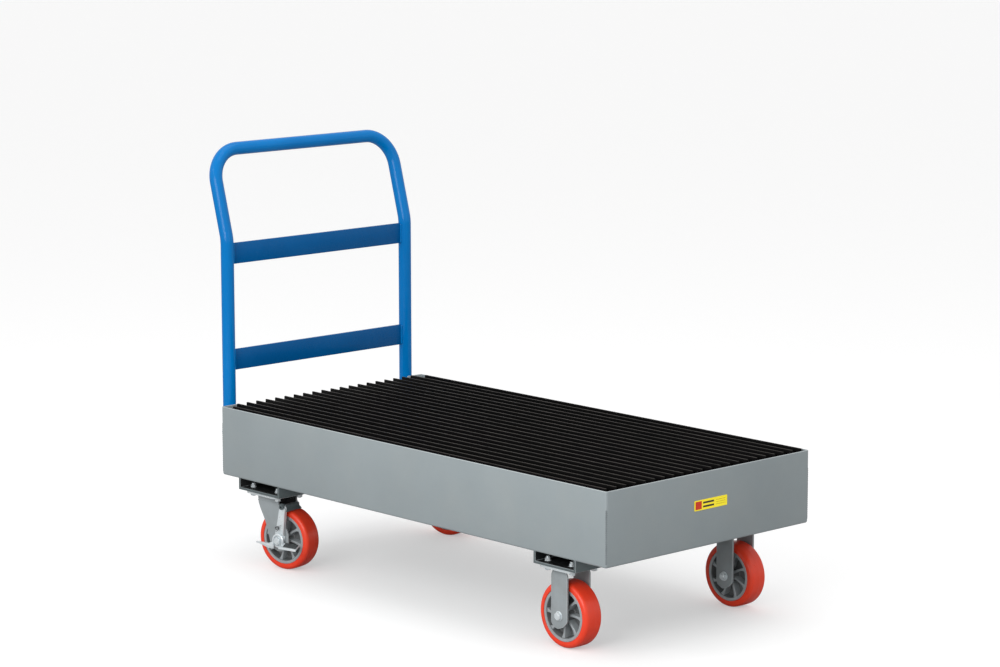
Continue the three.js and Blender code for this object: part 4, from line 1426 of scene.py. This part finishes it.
def place_wheel(prefix, at, parts):
    """Sets one wheel's pieces down and lets them ride on its body."""
    body = f"{prefix}_wheel"
    at = at @ Matrix.Rotation(math.radians(WHEEL_TURN[prefix]), 4, "Y")
    set_down(parts["tread"], prefix, "tread", at, body, "orange_tread", "tyre")
    set_down(parts["core"], prefix, "cast_core", at, body, "cast_core", "wheel_core")
    set_down(parts["bearing"], prefix, "roller_sleeve", at, body, "bearing_steel", "bearing")
    on_hub = Matrix.Translation(mm(0, FITTING["y"], 0)) @ Matrix.Rotation(FITTING["turn"], 4, "Y")
    on_hub = on_hub @ Matrix.Translation(mm(0, 0, HUB["radius"] - FITTING["sunk"]))
    set_down(parts["fitting"], prefix, "grease_fitting", at @ on_hub, body, "zinc_plate")


def place_bolts(prefix, at, bolt, bolt_x):
    """Sets the four plate bolts down, each turned differently."""
    places = [(x, y) for x in (-bolt_x, bolt_x) for y in (-BOLT["y"], BOLT["y"])]
    for number, (x, y) in enumerate(places, 1):
        turn = Matrix.Rotation(math.radians(BOLT["turn"] * number), 4, "Z")
        place = at @ Matrix.Translation(mm(x, y, 0)) @ turn
        name, node = f"plate_bolt_{number}", f"mount_bolt_{number}"
        set_down(bolt, prefix, name, place, "chassis", "zinc_plate", node)


def rigid_caster(hand, parts):
    """A caster that runs straight; the left one is turned about to face outwards."""
    prefix = f"rigid_{hand}"
    centre = joint_at[f"{prefix}_wheel_spin"]
    base = Matrix.Translation((centre.x, centre.y, 0))
    about = Matrix.Rotation(math.pi if hand == "left" else 0, 4, "Z")
    at_wheel = Matrix.Translation(centre) @ about
    set_down(parts["frame"], prefix, "welded_frame", base, "chassis", "grey_paint", "frame")
    set_down(parts["rigid_axle"], prefix, "axle", at_wheel, "chassis", "zinc_plate", "axle_bolt")
    place_wheel(prefix, at_wheel, parts)
    place_bolts(prefix, base, parts["bolt"], RIGID_PLATE["bolt_x"])


def swivel_caster(hand, parts):
    """A braked caster, its fork turned to where it trails at rest."""
    prefix = f"swivel_{hand}"
    fork, brake, pedal = (f"{prefix}_{part}" for part in ("fork", "brake", "pedal"))
    pivot, axis = joint_at[f"{prefix}_turn"], joint_axis[f"{prefix}_wheel_spin"]
    yaw = Matrix.Rotation(math.atan2(-axis.x, axis.y), 4, "Z")
    base = Matrix.Translation((pivot.x, pivot.y, 0))
    at_wheel = Matrix.Translation(joint_at[f"{prefix}_wheel_spin"]) @ yaw
    set_down(parts["top"], prefix, "raceway_plate", base, "chassis", "grey_paint", "top_plate")
    set_down(parts["pin"], prefix, "king_bolt", base, "chassis", "zinc_plate", "kingpin")
    place_bolts(prefix, base, parts["bolt"], SWIVEL_PLATE["bolt_x"])
    set_down(parts["fork"], prefix, "pressed_fork", base @ yaw, fork, "grey_paint", "yoke")
    set_down(parts["braked_axle"], prefix, "axle", at_wheel, fork, "zinc_plate", "axle_bolt")
    place_wheel(prefix, at_wheel, parts)
    set_down(parts["arm"], prefix, "side_brake", at_wheel, brake, "zinc_plate", "brake_arm")
    set_down(parts["lever"], prefix, "foot_lever", at_wheel, pedal, "zinc_plate", "brake_pedal")
    set_down(parts["grip"], prefix, "lever_grip", at_wheel, pedal, "zinc_plate")


def make_casters():
    """Makes each caster part once, copies it to its places, and clears the first ones away."""
    pedal_outside = BRAKE["pedal_face"] + BRAKE["pedal_plate"] + 0.2
    parts = {
        "tread": tread(), "core": wheel_core(), "bearing": hub_bearing(),
        "fitting": grease_fitting(), "bolt": mount_bolt(), "frame": rigid_frame(),
        "top": swivel_plate(), "pin": kingpin(), "fork": yoke(),
        "rigid_axle": axle_bolt(LEG["outer"], LEG["outer"]),
        "braked_axle": axle_bolt(pedal_outside, LEG["outer"]),
        "arm": brake_arm(), "lever": brake_pedal(), "grip": pedal_grip(),
    }
    for hand in ("right", "left"):
        rigid_caster(hand, parts)
        swivel_caster(hand, parts)
    for piece in parts.values():
        bpy.data.objects.remove(piece)


make_tray()
name_plate()
make_deck()
make_handle()
make_casters()
